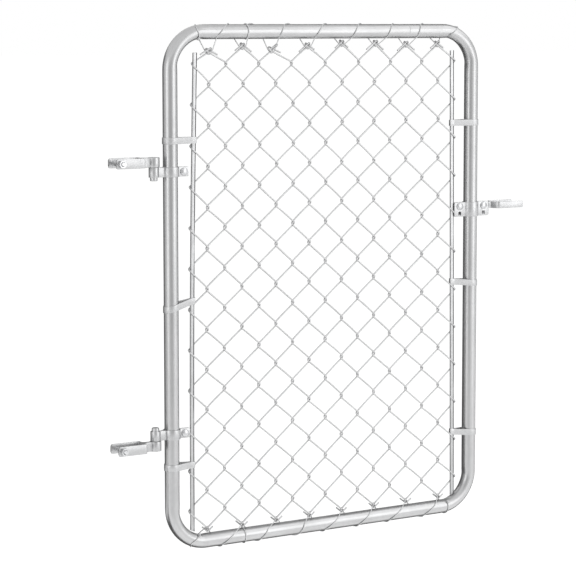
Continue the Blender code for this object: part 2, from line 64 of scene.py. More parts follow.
Colour = tuple[float, float, float]
Pair = tuple[float, float]
Stretch = tuple[Pair, ...]
Spots = tuple[tuple[float, float, float], ...]
Value = float | NodeSocket


class Body(Enum):
    """The moving bodies that pieces ride on."""

    POST = "post_side"
    LEAF = "leaf"
    FORK = "fork"


class Slot(Enum):
    """The record's material slots."""

    TUBE = "galvanised_tube"
    MESH = "galvanised_wire"
    BAR = "galvanised_bar"
    BAND = "galvanised_band"
    LACE = "lacing_wire"
    FITTING = "galvanised_fitting"
    PIN = "hinge_pin"
    BOLT = "plated_bolt"


class Side(Enum):
    """The two sides of the gate, as a sign along X."""

    LEFT = -1
    RIGHT = 1


class Grain(Enum):
    """Where a finish takes its lines from: lengths along a swept piece, or the piece's body."""

    ALONG = "UV"
    BODY = "Object"


# Shaping


@dataclass(frozen=True)
class Station:
    """One cross-section of a swept piece: its centre, its two axes and their scales."""

    centre: Vector
    across: Vector
    up: Vector
    wide: float = 1.0
    high: float = 1.0


def polar(radius: float, turn: float) -> Pair:
    """Return the point at a radius and an angle in radians."""
    return radius * math.cos(turn), radius * math.sin(turn)


def circle(radius: float, sides: int) -> list[Pair]:
    """Return a round section with its corners at a radius."""
    return [polar(radius, math.tau * side / sides) for side in range(sides)]


def slab(thick: float, high: float, corner: float, steps: int = 2) -> list[Pair]:
    """Return a rectangular section with rounded corners.

    Args:
        thick: Size along the section's first axis.
        high: Size along its second axis.
        corner: Radius of the corners.
        steps: Faces in each corner.

    Returns:
        The section's points, in order.
    """
    section = []
    for quarter, (a, b) in enumerate(((1, 1), (-1, 1), (-1, -1), (1, -1))):
        for step in range(steps + 1):
            x, y = polar(corner, math.pi / 2 * (quarter + step / steps))
            section.append((a * (thick / 2 - corner) + x, b * (high / 2 - corner) + y))
    return section


def arc(middle: float, radius: float, start: float, end: float, step: float = 4.0) -> list[Vector]:
    """Return points on an arc in plan.

    Args:
        middle: X of its centre, which lies in the gate's plane.
        radius: Its radius.
        start: First angle in degrees.
        end: Last angle in degrees.
        step: Greatest angle between points, in degrees.

    Returns:
        The points, with both ends.
    """
    count = max(1, math.ceil(abs(end - start) / step))
    turns = (math.radians(start + (end - start) * index / count) for index in range(count + 1))
    return [Vector((middle + radius * math.cos(turn), radius * math.sin(turn), 0)) for turn in turns]


def mirrored(half: Sequence[Vector]) -> list[Vector]:
    """Return a plan line that runs through a half of itself and back through its mirror image."""
    return [*half, *(Vector((spot.x, -spot.y, 0)) for spot in reversed(half[:-1]))]


def stand(line: Sequence[Vector], x: float, z: float, flip_x: int = 1, flip_y: int = 1) -> list[Vector]:
    """Return a plan line moved to a place in the gate's plane, turned over where a flip is -1."""
    return [Vector((x + flip_x * spot.x, flip_y * spot.y, z)) for spot in line]


def resample(points: Sequence[Vector], spacing: float) -> list[Vector]:
    """Return points at even distances along a line.

    Args:
        points: The line's corners.
        spacing: About the distance between the new points.

    Returns:
        The new points, with both ends kept.
    """
    runs = [(b - a).length for a, b in zip(points, points[1:])]
    total = sum(runs)
    count = max(2, round(total / spacing))
    result = [points[0].copy()]
    index, walked = 0, 0.0
    for step in range(1, count):
        goal = total * step / count
        while walked + runs[index] < goal:
            walked += runs[index]
            index += 1
        result.append(points[index].lerp(points[index + 1], (goal - walked) / runs[index]))
    return [*result, points[-1].copy()]


def soften(points: Sequence[Vector], spacing: float, radius: float) -> list[Vector]:
    """Return a line whose corners are bent round.

    Args:
        points: The line's corners.
        spacing: Distance between the points of the result.
        radius: About the radius that a square corner ends up with.

    Returns:
        The softened line, with both ends kept.
    """
    line = resample(points, spacing)
    for _ in range(round(2 * (radius / 2 / spacing) ** 2)):
        middle = [a * 0.25 + b * 0.5 + c * 0.25 for a, b, c in zip(line, line[1:], line[2:])]
        line = [line[0], *middle, line[-1]]
    return line


def flowing(points: Sequence[Vector], steps: int) -> list[Vector]:
    """Return a smooth line through points.

    Args:
        points: What the line goes through.
        steps: How many points it has from each to the next.

    Returns:
        The line, with both ends kept.
    """
    padded = [points[0] * 2 - points[1], *points, points[-1] * 2 - points[-2]]
    line = []
    for a, b, c, d in zip(padded, padded[1:], padded[2:], padded[3:]):
        for step in range(steps):
            t = step / steps
            square = (2 * a - 5 * b + 4 * c - d) * t**2
            cube = (3 * b - a - 3 * c + d) * t**3
            line.append(0.5 * (2 * b + (c - a) * t + square + cube))
    return [*line, points[-1].copy()]


def heading(points: Sequence[Vector], index: int) -> Vector:
    """Return a line's direction at one of its points."""
    return (points[min(index + 1, len(points) - 1)] - points[max(index - 1, 0)]).normalized()


def carried(points: Sequence[Vector]) -> list[Station]:
    """Return stations along a wire, with axes that turn no more than the wire does.

    Args:
        points: The wire's line.

    Returns:
        One station for each point.
    """
    stations = []
    up = BACK
    for index, point in enumerate(points):
        along = heading(points, index)
        across = along.cross(up)
        if across.length < 0.05:
            across = along.cross(Vector((0.3, 0.2, 1)))
        across.normalize()
        up = across.cross(along).normalized()
        stations.append(Station(point, across, up))
    return stations


def sweep(bm: BMesh, stations: Sequence[Station], section: Sequence[Pair], closed: bool = False) -> None:
    """Skin a section along stations, with lengths in metres as its UV map.

    Args:
        bm: The mesh to add to.
        stations: Where the section goes.
        section: Its corners, in order.
        closed: True where the last station joins the first.
    """
    uv = bm.loops.layers.uv.verify()
    rings = []
    for spot in stations:
        offsets = (spot.across * (a * spot.wide) + spot.up * (b * spot.high) for a, b in section)
        rings.append([bm.verts.new(spot.centre + offset) for offset in offsets])
    edges = zip(section, [*section[1:], section[0]])
    around = list(accumulate((math.dist(a, b) for a, b in edges), initial=0.0))
    spans = list(zip(rings, rings[1:]))
    if closed:
        spans.append((rings[-1], rings[0]))
    along = 0.0
    for index, (low, high) in enumerate(spans):
        length = (stations[(index + 1) % len(stations)].centre - stations[index].centre).length
        for side in range(len(section)):
            after = (side + 1) % len(section)
            face = bm.faces.new((low[side], low[after], high[after], high[side]))
            corners = ((side, 0.0), (side + 1, 0.0), (side + 1, length), (side, length))
            for loop, (turn, run) in zip(face.loops, corners):
                loop[uv].uv = (around[turn], along + run)
        along += length
    if not closed:
        bm.faces.new(rings[0])
        bm.faces.new(rings[-1])


def strap(
    line: Sequence[Vector], thick: float, high: float, corner: float, end_radius: float = 0.0
) -> BMesh:
    """Return a flat strap that stands on edge along a path in plan.

    Args:
        line: The path in X and Y, with Z as the strap's middle.
        thick: The strap's thickness.
        high: Its height.
        corner: Radius of its long edges.
        end_radius: Radius of the corners at its two ends.

    Returns:
        The strap's mesh.
    """
    walked = list(accumulate(((b - a).length for a, b in zip(line, line[1:])), initial=0.0))
    stations = []
    for index, point in enumerate(line):
        along = heading(line, index)
        across = Vector((along.y, -along.x, 0)).normalized()
        left = min(walked[index], walked[-1] - walked[index])
        share = 1.0
        if left < end_radius:
            lost = end_radius - math.sqrt(end_radius**2 - (end_radius - left) ** 2)
            share = 1 - 2 * lost / high
        stations.append(Station(point, across, UP, 1.0, share))
    bm = bmesh.new()
    sweep(bm, stations, slab(thick, high, corner))
    return bm


def skin(bm: BMesh, rings: Sequence[Sequence[BMVert]]) -> None:
    """Join rings of corners with faces.

    Args:
        bm: The mesh to add to.
        rings: The rings in order, of which one with a single corner closes an end.
    """
    for low, high in zip(rings, rings[1:]):
        count = max(len(low), len(high))
        for side in range(count):
            after = (side + 1) % count
            lower = (low[side % len(low)], low[after % len(low)])
            upper = (high[after % len(high)], high[side % len(high)])
            bm.faces.new(dict.fromkeys((*lower, *upper)))


def lathe(bm: BMesh, profile: Sequence[Pair], place: Matrix, sides: int = 48) -> None:
    """Turn a profile round its axis.

    Args:
        bm: The mesh to add to.
        profile: Radius and height of each ring; a radius of 0 closes the end.
        place: Where the axis stands.
        sides: Faces round the axis.
    """
    rings = []
    for radius, height in profile:
        turns = circle(radius, sides if radius else 1)
        rings.append([bm.verts.new(place @ Vector((x, y, height))) for x, y in turns])
    skin(bm, rings)


def dressed(name: str, bm: BMesh, material: Material, crease: float = CREASE) -> Object:
    """Turn a mesh in the part's frame into an object.

    Args:
        name: The object's name.
        bm: Its mesh, which is used up.
        material: Its finish.
        crease: Edges sharper than this many degrees stay crisp.

    Returns:
        The object, in the scene.
    """
    bmesh.ops.recalc_face_normals(bm, faces=bm.faces)
    mesh = bpy.data.meshes.new(name)
    bm.to_mesh(mesh)
    bm.free()
    mesh.materials.append(material)
    mesh.shade_smooth()
    mesh.set_sharp_from_angle(angle=math.radians(crease))
    piece = bpy.data.objects.new(name, mesh)
    bpy.context.scene.collection.objects.link(piece)
    return piece


def cut(piece: Object, cutters: Sequence[Object]) -> None:
    """Cut holes through a piece.

    Args:
        piece: What is cut.
        cutters: The holes' shapes, which are used up.
    """
    for cutter in cutters:
        hole = piece.modifiers.new("hole", "BOOLEAN")
        hole.operation = "DIFFERENCE"
        hole.solver = "EXACT"
        hole.object = cutter
    bpy.context.view_layer.update()
    shown = piece.evaluated_get(bpy.context.evaluated_depsgraph_get())
    mesh = bpy.data.meshes.new_from_object(shown)
    piece.modifiers.clear()
    piece.data = mesh
    mesh.set_sharp_from_angle(angle=math.radians(CREASE))
    for cutter in cutters:
        bpy.data.objects.remove(cutter)


def facing(x: float, y: float, z: float, side: int) -> Matrix:
    """Return an axis along Y at a place, whose +Z points to the front where side is -1."""
    return Matrix.Translation((x, y, z)) @ Matrix.Rotation(math.radians(-90 * side), 4, "X")


# Finishes


@dataclass
class Desk:
    """Lays out the nodes of one tree."""

    tree: NodeTree

    def add(self, kind: str, inputs: dict[str | int, Value] | None = None, **settings: object) -> Node:
        """Return a new node.

        Args:
            kind: Its type.
            inputs: What its inputs get, by label or place.
            settings: Its other settings.

        Returns:
            The node.
        """
        node = self.tree.nodes.new(kind)
        for key, value in settings.items():
            setattr(node, key, value)
        self.feed(node, inputs or {})
        return node

    def feed(self, node: Node, inputs: dict[str | int, Value]) -> None:
        """Link a node's inputs to sockets, or set their values.

        Args:
            node: The node.
            inputs: What its inputs get, by label or place.
        """
        for label, value in inputs.items():
            if isinstance(value, NodeSocket):
                self.tree.links.new(value, node.inputs[label])
            else:
                node.inputs[label].default_value = value

    def sum(self, operation: str, first: Value, second: Value) -> NodeSocket:
        """Return the result of a Math node."""
        return self.add("ShaderNodeMath", {0: first, 1: second}, operation=operation).outputs[0]

    def weigh(self, *parts: tuple[Value, Value]) -> NodeSocket:
        """Add up values times their weights.

        Args:
            parts: The values, each with its weight.

        Returns:
            The sum.
        """
        total, *others = (self.sum("MULTIPLY", value, weight) for value, weight in parts)
        for other in others:
            total = self.sum("ADD", total, other)
        return total

    def span(self, value: Value, source: Pair, target: Pair = (0.0, 1.0)) -> NodeSocket:
        """Return a value moved from one range to another and held inside it."""
        ends = dict(zip(("From Min", "From Max", "To Min", "To Max"), (*source, *target)))
        return self.add("ShaderNodeMapRange", {"Value": value, **ends}, clamp=True).outputs["Result"]

    def blend(self, share: Value, first: Colour | NodeSocket, second: Colour | NodeSocket) -> NodeSocket:
        """Return a mix of two colours."""
        ends = (tone if isinstance(tone, NodeSocket) else (*tone, 1.0) for tone in (first, second))
        return self.add("ShaderNodeMix", {0: share, **dict(zip((6, 7), ends))}, data_type="RGBA").outputs[2]

    def cloud(self, vector: Value, scale: Value, detail: float, rough: float = 0.5) -> NodeSocket:
        """Return a noise value."""
        inputs = {"Vector": vector, "Scale": scale, "Detail": detail, "Roughness": rough}
        return self.add("ShaderNodeTexNoise", inputs).outputs["Fac"]

    def group(self, tree: NodeTree, vector: Value, **settings: float) -> bpy.types.bpy_prop_collection:
        """Return the outputs of a shared group that is placed with its own settings."""
        return self.add("ShaderNodeGroup", {"Vector": vector, **settings}, node_tree=tree).outputs


def open_group(name: str, *settings: str) -> tuple[Desk, list[NodeSocket]]:
    """Start a shader node group that takes a vector and numbers.

    Args:
        name: Its name.
        settings: Labels of the numbers.

    Returns:
        The desk for its tree, and the sockets of the vector and of each number.
    """
    tree = bpy.data.node_groups.new(name, "ShaderNodeTree")
    tree.interface.new_socket("Vector", in_out="INPUT", socket_type="NodeSocketVector")
    for label in settings:
        tree.interface.new_socket(label, in_out="INPUT", socket_type="NodeSocketFloat")
    desk = Desk(tree)
    takes = desk.add("NodeGroupInput")
    return desk, [takes.outputs[label] for label in ("Vector", *settings)]


def close_group(desk: Desk, results: dict[str, NodeSocket]) -> NodeTree:
    """Give a group its outputs.

    Args:
        desk: The desk for its tree.
        results: The value of each output, by label.

    Returns:
        The finished group.
    """
    for label in results:
        desk.tree.interface.new_socket(label, in_out="OUTPUT", socket_type="NodeSocketFloat")
    desk.add("NodeGroupOutput", results)
    return desk.tree


def zinc_spangle(fine_scale: float = 2.7) -> NodeTree:
    """Build the crystal facets of a dipped zinc coat.

    Args:
        fine_scale: How much finer its grain is than its facets.

    Returns:
        A group with a tone and a height.
    """
    desk, (vector, scale) = open_group("zinc_spangle", "Scale")
    cells = desk.add("ShaderNodeTexVoronoi", {"Vector": vector, "Scale": scale}, feature="F1")
    facet = desk.add("ShaderNodeSeparateColor", {0: cells.outputs["Color"]}).outputs
    fine = desk.cloud(vector, desk.sum("MULTIPLY", scale, fine_scale), 3.0)
    tone = desk.weigh((facet[0], 0.6), (fine, 0.4))
    return close_group(desk, {"Tone": tone, "Height": desk.weigh((facet[1], 0.35), (fine, 0.65))})


def draw_lines(stretch: float = 0.018, fine_scale: float = 4.2) -> NodeTree:
    """Build fine lines along a drawn or rolled piece, from its lengths in metres.

    Args:
        stretch: The pattern's scale along the piece, against 1 across it.
        fine_scale: How much finer the finest lines are than the others.

    Returns:
        A group with a tone and a height.
    """
    desk, (vector, scale) = open_group("draw_lines", "Scale")
    drawn = desk.add("ShaderNodeVectorMath", {0: vector, 1: (1.0, stretch, 1.0)}, operation="MULTIPLY")
    coarse = desk.cloud(drawn.outputs[0], scale, 4.0, 0.6)
    fine = desk.cloud(drawn.outputs[0], desk.sum("MULTIPLY", scale, fine_scale), 2.0)
    tone = desk.span(coarse, (0.32, 0.68))
    return close_group(desk, {"Tone": tone, "Height": desk.weigh((coarse, 0.6), (fine, 0.4))})


def dull_bloom(spot_scale: float = 9.0) -> NodeTree:
    """Build the cloudy dull patches of zinc that has been stored and handled.

    Args:
        spot_scale: How much finer the spots are than the patches.

    Returns:
        A group with a mask.
    """
    desk, (vector, scale) = open_group("dull_bloom", "Scale")
    wide = desk.cloud(vector, scale, 5.0, 0.62)
    spots = desk.cloud(vector, desk.sum("MULTIPLY", scale, spot_scale), 2.0)
    return close_group(desk, {"Mask": desk.span(desk.weigh((wide, 0.75), (spots, 0.25)), (0.4, 0.62))})


def edge_wear(rub_scale: float = 420.0) -> NodeTree:
    """Build a mask of the edges that are rubbed bright.

    Args:
        rub_scale: The rubbing's patterns in a metre.

    Returns:
        A group with a mask.
    """
    desk, (vector, reach) = open_group("edge_wear", "Reach")
    edge = desk.span(desk.add("ShaderNodeNewGeometry").outputs["Pointiness"], (0.505, 0.56))
    rub = desk.span(desk.cloud(vector, rub_scale, 3.0), (0.35, 0.6), (0.25, 1.0))
    return close_group(desk, {"Mask": desk.sum("MULTIPLY", desk.sum("MULTIPLY", edge, rub), reach)})


def painted_edge_shade(patch_scale: float = 9.0) -> NodeTree:
    """Build a painted shade line: a dark band between two places round a bar's section.

    Args:
        patch_scale: The painted shade line's patches in a metre.

    Returns:
        A group with a mask.
    """
    desk, (vector, start, end) = open_group("painted_edge_shade", "Start", "End")
    # Painted shade: the mask darkens a band between Start and End round the section.
    place = desk.add("ShaderNodeSeparateXYZ", {0: vector}).outputs["X"]
    within = (desk.sum("GREATER_THAN", place, start), desk.sum("LESS_THAN", place, end))
    patches = desk.span(desk.cloud(vector, patch_scale, 3.0), (0.36, 0.5), (0.35, 1.0))
    return close_group(desk, {"Mask": desk.sum("MULTIPLY", desk.sum("MULTIPLY", *within), patches)})


@dataclass(frozen=True)
class Effects:
    """The shader node groups that the finishes share, each built once."""

    spangle: NodeTree = field(default_factory=zinc_spangle)
    lines: NodeTree = field(default_factory=draw_lines)
    bloom: NodeTree = field(default_factory=dull_bloom)
    wear: NodeTree = field(default_factory=edge_wear)
    # scale: the painted shade line along a bar's edge, not real rolling scale.
    scale: NodeTree = field(default_factory=painted_edge_shade)


@dataclass(frozen=True)
class ZincFinish:
    """A zinc coat on steel.

    Tones and roughness run between two values by the shares of lines, spangle and bloom, whose
    scales are in patterns a metre. Where a finish has an edge, a painted shade line darkens it there.
    """

    name: str
    dark: Colour
    light: Colour
    sleek: float
    rough: float
    lines: float
    spangle: float
    bloom: float
    line_scale: float
    spangle_scale: float
    bloom_scale: float
    wear: float
    relief: float
    grain: Grain = Grain.ALONG
    # edge: where a painted shade line darkens the section, between two places round it.
    edge: Pair | None = None
    metallic: float = 0.96
    bump: float = 0.6
    rubbed_tone: float = 1.12
    rubbed_polish: float = 0.35
    # Colour of the painted shade line.
    shade_line_tone: Colour = (0.07, 0.07, 0.072)

    def build(self, effects: Effects) -> Material:
        """Return the material.

        Args:
            effects: The shared shader node groups.

        Returns:
            The material, which a slot's pieces share.
        """
        material = bpy.data.materials.new(self.name)
        material.use_nodes = True
        desk = Desk(material.node_tree)
        places = desk.add("ShaderNodeTexCoord").outputs
        body = places["Object"]
        lines = desk.group(effects.lines, places[self.grain.value], Scale=self.line_scale)
        spangle = desk.group(effects.spangle, body, Scale=self.spangle_scale)
        bloom = desk.group(effects.bloom, body, Scale=self.bloom_scale)["Mask"]
        wear = desk.group(effects.wear, body, Reach=self.wear)["Mask"]
        tone = desk.weigh((lines["Tone"], self.lines), (spangle["Tone"], self.spangle), (bloom, self.bloom))
        bright = tuple(min(1.0, part * self.rubbed_tone) for part in self.light)
        colour = desk.blend(wear, desk.blend(tone, self.light, self.dark), bright)
        # Painted shade: a dark line laid between two places round the section.
        if self.edge:
            start, end = self.edge
            scale = desk.group(effects.scale, places["UV"], Start=start, End=end)["Mask"]
            colour = desk.blend(scale, colour, self.shade_line_tone)
        polish = desk.sum("SUBTRACT", 1.0, desk.sum("MULTIPLY", wear, self.rubbed_polish))
        rough = desk.span(tone, (0.0, 1.0), (self.sleek, self.rough))
        height = desk.weigh((lines["Height"], self.lines), (spangle["Height"], self.spangle))
        relief = {"Strength": self.bump, "Distance": self.relief, "Height": height}
        looks = {
            "Metallic": self.metallic,
            "Base Color": colour,
            "Roughness": desk.sum("MULTIPLY", rough, polish),
            "Normal": desk.add("ShaderNodeBump", relief).outputs[0],
        }
        desk.feed(desk.tree.nodes["Principled BSDF"], looks)
        return material


FINISHES = {
    Slot.TUBE: ZincFinish(
        "tube_zinc", dark=(0.43, 0.432, 0.436), light=(0.55, 0.552, 0.556), sleek=0.28, rough=0.36,
        lines=0.5, spangle=0.15, bloom=0.35, line_scale=260, spangle_scale=150, bloom_scale=9,
        wear=0.3, relief=0.00005,
    ),
    Slot.MESH: ZincFinish(
        "mesh_wire_zinc", dark=(0.5, 0.502, 0.506), light=(0.62, 0.622, 0.626), sleek=0.42, rough=0.55,
        lines=0.4, spangle=0.2, bloom=0.4, line_scale=500, spangle_scale=420, bloom_scale=30,
        wear=0.2, relief=0.00003,
    ),
    # The bar's edge span is a painted shade line along one edge of its section.
    Slot.BAR: ZincFinish(
        "bar_zinc", dark=(0.4, 0.403, 0.408), light=(0.56, 0.563, 0.568), sleek=0.26, rough=0.4,
        lines=0.4, spangle=0.3, bloom=0.4, line_scale=420, spangle_scale=220, bloom_scale=20,
        wear=0.6, relief=0.00006, edge=(0.0205, 0.0233),
    ),
    Slot.BAND: ZincFinish(
        "band_zinc", dark=(0.44, 0.443, 0.448), light=(0.58, 0.583, 0.588), sleek=0.4, rough=0.55,
        lines=0.35, spangle=0.35, bloom=0.35, line_scale=420, spangle_scale=260, bloom_scale=30,
        wear=0.6, relief=0.0001,
    ),
    Slot.LACE: ZincFinish(
        "lace_wire_zinc", dark=(0.52, 0.523, 0.527), light=(0.66, 0.663, 0.668), sleek=0.38, rough=0.5,
        lines=0.5, spangle=0.25, bloom=0.35, line_scale=600, spangle_scale=400, bloom_scale=30,
        wear=0.2, relief=0.00004,
    ),
    Slot.FITTING: ZincFinish(
        "fitting_zinc", dark=(0.40, 0.403, 0.408), light=(0.54, 0.543, 0.548), sleek=0.33, rough=0.5,
        lines=0.1, spangle=0.3, bloom=0.45, line_scale=300, spangle_scale=330, bloom_scale=36,
        wear=0.8, relief=0.00008, grain=Grain.BODY,
    ),
    Slot.PIN: ZincFinish(
        "pin_zinc", dark=(0.42, 0.423, 0.428), light=(0.58, 0.583, 0.588), sleek=0.26, rough=0.44,
        lines=0.1, spangle=0.4, bloom=0.5, line_scale=300, spangle_scale=380, bloom_scale=60,
        wear=0.7, relief=0.0001, grain=Grain.BODY,
    ),
    Slot.BOLT: ZincFinish(
        "bolt_zinc", dark=(0.46, 0.465, 0.475), light=(0.66, 0.665, 0.675), sleek=0.2, rough=0.36,
        lines=0.1, spangle=0.35, bloom=0.55, line_scale=300, spangle_scale=420, bloom_scale=70,
        wear=0.8, relief=0.0001, grain=Grain.BODY,
    ),
}


# The gate


@dataclass(frozen=True)
class Layout:
    """The sizes that several sub-assemblies share."""

    left_x: float = 0.0712
    right_x: float = 0.85225
    top_z: float = 0.8785
    bottom_z: float = -0.22005
    tube_radius: float = 0.015875
    bend_radius: float = 0.0804
    pin_x: float = 0.0317
    upper_hinge_z: float = 0.6052
    hinge_step: float = 0.0216
    strap_high: float = 0.021
    seat: float = 0.0003

    @property
    def middle_x(self) -> float:
        """Halfway between the stiles."""
        return (self.left_x + self.right_x) / 2


@dataclass
class Assembly:
    """A group of pieces that are built and dressed together."""

    layout: Layout
    finishes: dict[Slot, Material]

    def add(
        self, name: str, bm: BMesh, slot: Slot, body: Body, nodes: Sequence[str],
        crease: float = CREASE, cutters: Sequence[Object] = (),
    ) -> None:
        """Put a piece on its body in place of the nodes that it stands for.

        Args:
            name: The piece's name.
            bm: Its mesh, in the part's frame, which is used up.
            slot: Its material slot.
            body: The body that it rides on.
            nodes: The nodes that it stands for.
            crease: Edges sharper than this many degrees stay crisp.
            cutters: Shapes of its holes, which are used up.
        """
        piece = dressed(name, bm, self.finishes[slot], crease)
        if cutters:
            cut(piece, cutters)
        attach(piece, body.value)
        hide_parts(*nodes)
        LOG.info("%s: %d faces, rides on %s", piece.name, len(piece.data.polygons), body.value)


@dataclass
class FrameTube(Assembly):
    """The frame: one tube bent to a rounded rectangle and closed with a butt joint.

    Each kink is a crease in X and Z where a bend begins, with its depth.
    """

    sides: int = 48
    bend_steps: int = 18
    spacing: float = 0.008
    flattening: float = 0.055
    flattening_rise: float = 2.6
    flattening_shift: float = 0.9
    joint_x: float = 0.6723
    joint_half: float = 0.0006
    joint_depth: float = 0.00035
    joint_fade: float = 1.5
    kink_reach: float = 0.011
    kinks: Spots = (
        (0.8363, 0.7985, 0.0012), (0.0871, -0.1405, 0.0012),
        (0.0871, 0.7985, 0.0004), (0.8363, -0.1405, 0.0004),
    )

    def stations(self) -> list[Station]:
        """Lay out the tube, clockwise from the foot of the left stile.

        Returns:
            Its stations, of which the last joins the first.
        """
        r = self.layout.bend_radius
        left, right = self.layout.left_x + r, self.layout.right_x - r
        top, bottom = self.layout.top_z - r, self.layout.bottom_z + r
        corners = ((left, top, 180), (right, top, 90), (right, bottom, 0), (left, bottom, -90))
        result = []
        for index, (x, z, start) in enumerate(corners):
            last_x, last_z, _ = corners[index - 1]
            normal = self._outward(start)
            begin = Vector((last_x, 0, last_z)) + normal * r
            end = Vector((x, 0, z)) + normal * r
            count = round((end - begin).length / self.spacing)
            shares = [step / count for step in range(1, count)]
            if index == 1:
                joint = (self.joint_x + offset * self.joint_half for offset in range(-2, 3))
                shares = sorted(shares + [(spot - begin.x) / (end.x - begin.x) for spot in joint])
            result += [Station(begin.lerp(end, share), normal, BACK) for share in shares]
            for step in range(self.bend_steps + 1):
                share = step / self.bend_steps
                normal = self._outward(start - 90 * share)
                thin = 1 - self.flattening * min(1.0, self.flattening_rise * math.sin(math.pi * share))
                shift = self.layout.tube_radius * (1 - thin) * self.flattening_shift
                result.append(Station(Vector((x, 0, z)) + normal * (r + shift), normal, BACK, thin))
        return result

    @staticmethod
    def _outward(turn: float) -> Vector:
        """Return the direction in the gate's plane at an angle in degrees from +X towards +Z."""
        x, z = polar(1.0, math.radians(turn))
        return Vector((x, 0, z))

    def build(self) -> None:
        """Build the tube with its joint and the creases where the bends begin."""
        bm = bmesh.new()
        sweep(bm, self.stations(), circle(self.layout.tube_radius, self.sides), closed=True)
        for spot in bm.verts:
            near = abs(spot.co.x - self.joint_x) / self.joint_half
            if near < self.joint_fade and spot.co.z > self.layout.top_z - 2 * self.layout.tube_radius:
                axis = Vector((spot.co.x, 0, self.layout.top_z))
                spot.co -= (spot.co - axis).normalized() * self.joint_depth * (1 - near / self.joint_fade)
            for x, z, depth in self.kinks:
                away = (spot.co - Vector((x, 0, z))).length / self.kink_reach
                if away < 1:
                    inward = 1 if x < self.layout.middle_x else -1
                    spot.co.x -= inward * depth * (1 - away**2) ** 2
        nodes = ("left_stile", "right_stile", "top_rail", "bottom_rail")
        self.add("frame_tube", bm, Slot.TUBE, Body.LEAF, nodes, 60)


@dataclass
class TensionBars(Assembly):
    """The two flat bars that stretch the mesh between the stiles, each off its stile by its sizes."""

    wide: float = 0.0095
    thick: float = 0.0048
    corner: float = 0.0012
    left_top: float = 0.0599
    left_bottom: float = 0.0487
    right_top: float = 0.0545
    right_bottom: float = 0.0466
    left_bow: float = 0.0034
    foot_drop: float = 0.0054
    foot_slope: float = 0.42
    bevel: float = 0.0008
    end_share: float = 0.86
    gap: float = 0.0004
    steps: int = 60
    top_z: float = field(init=False)
    bottom_z: float = field(init=False)

    def __post_init__(self) -> None:
        """Take the bars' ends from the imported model."""
        low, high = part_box("left_tension_bar")
        self.top_z = high.z
        self.bottom_z = low.z - self.foot_drop

    def x(self, side: Side, z: float) -> float:
        """Return where a bar's middle is.

        Args:
            side: Which bar.
            z: At what height.

        Returns:
            Its place along X.
        """
        share = (z - self.bottom_z) / (self.top_z - self.bottom_z)
        if side is Side.LEFT:
            bow = self.left_bow * math.sin(math.pi * min(max(share, 0), 1))
            return self.layout.left_x + self.left_bottom + (self.left_top - self.left_bottom) * share - bow
        return self.layout.right_x - self.right_bottom - (self.right_top - self.right_bottom) * share

    def build(self) -> None:
        """Build both bars, bevelled at their ends and sheared a little off square at their feet."""
        rise = (self.top_z - self.bottom_z) / self.steps
        for side in Side:
            stations = []
            for step in range(self.steps + 1):
                z = self.bottom_z + (self.top_z - self.bottom_z) * step / self.steps
                small = self.end_share if step in (0, self.steps) else 1.0
                across = Vector((1, 0, 0 if step else side.value * self.foot_slope))
                stations.append(Station(Vector((self.x(side, z), 0, z)), across, BACK, small, small))
                if step in (0, self.steps - 1):
                    z += rise - self.bevel if step else self.bevel
                    stations.append(Station(Vector((self.x(side, z), 0, z)), across, BACK))
            bm = bmesh.new()
            sweep(bm, stations, slab(self.wide, self.thick, self.corner, 4))
            name = side.name.lower()
            self.add(name + "_bar", bm, Slot.BAR, Body.LEAF, (name + "_tension_bar",))


@dataclass(frozen=True)
class Hook:
    """A wire's knuckled end: its reach past the crossing, its radius and its tail's length."""

    reach: float
    radius: float
    tail: float


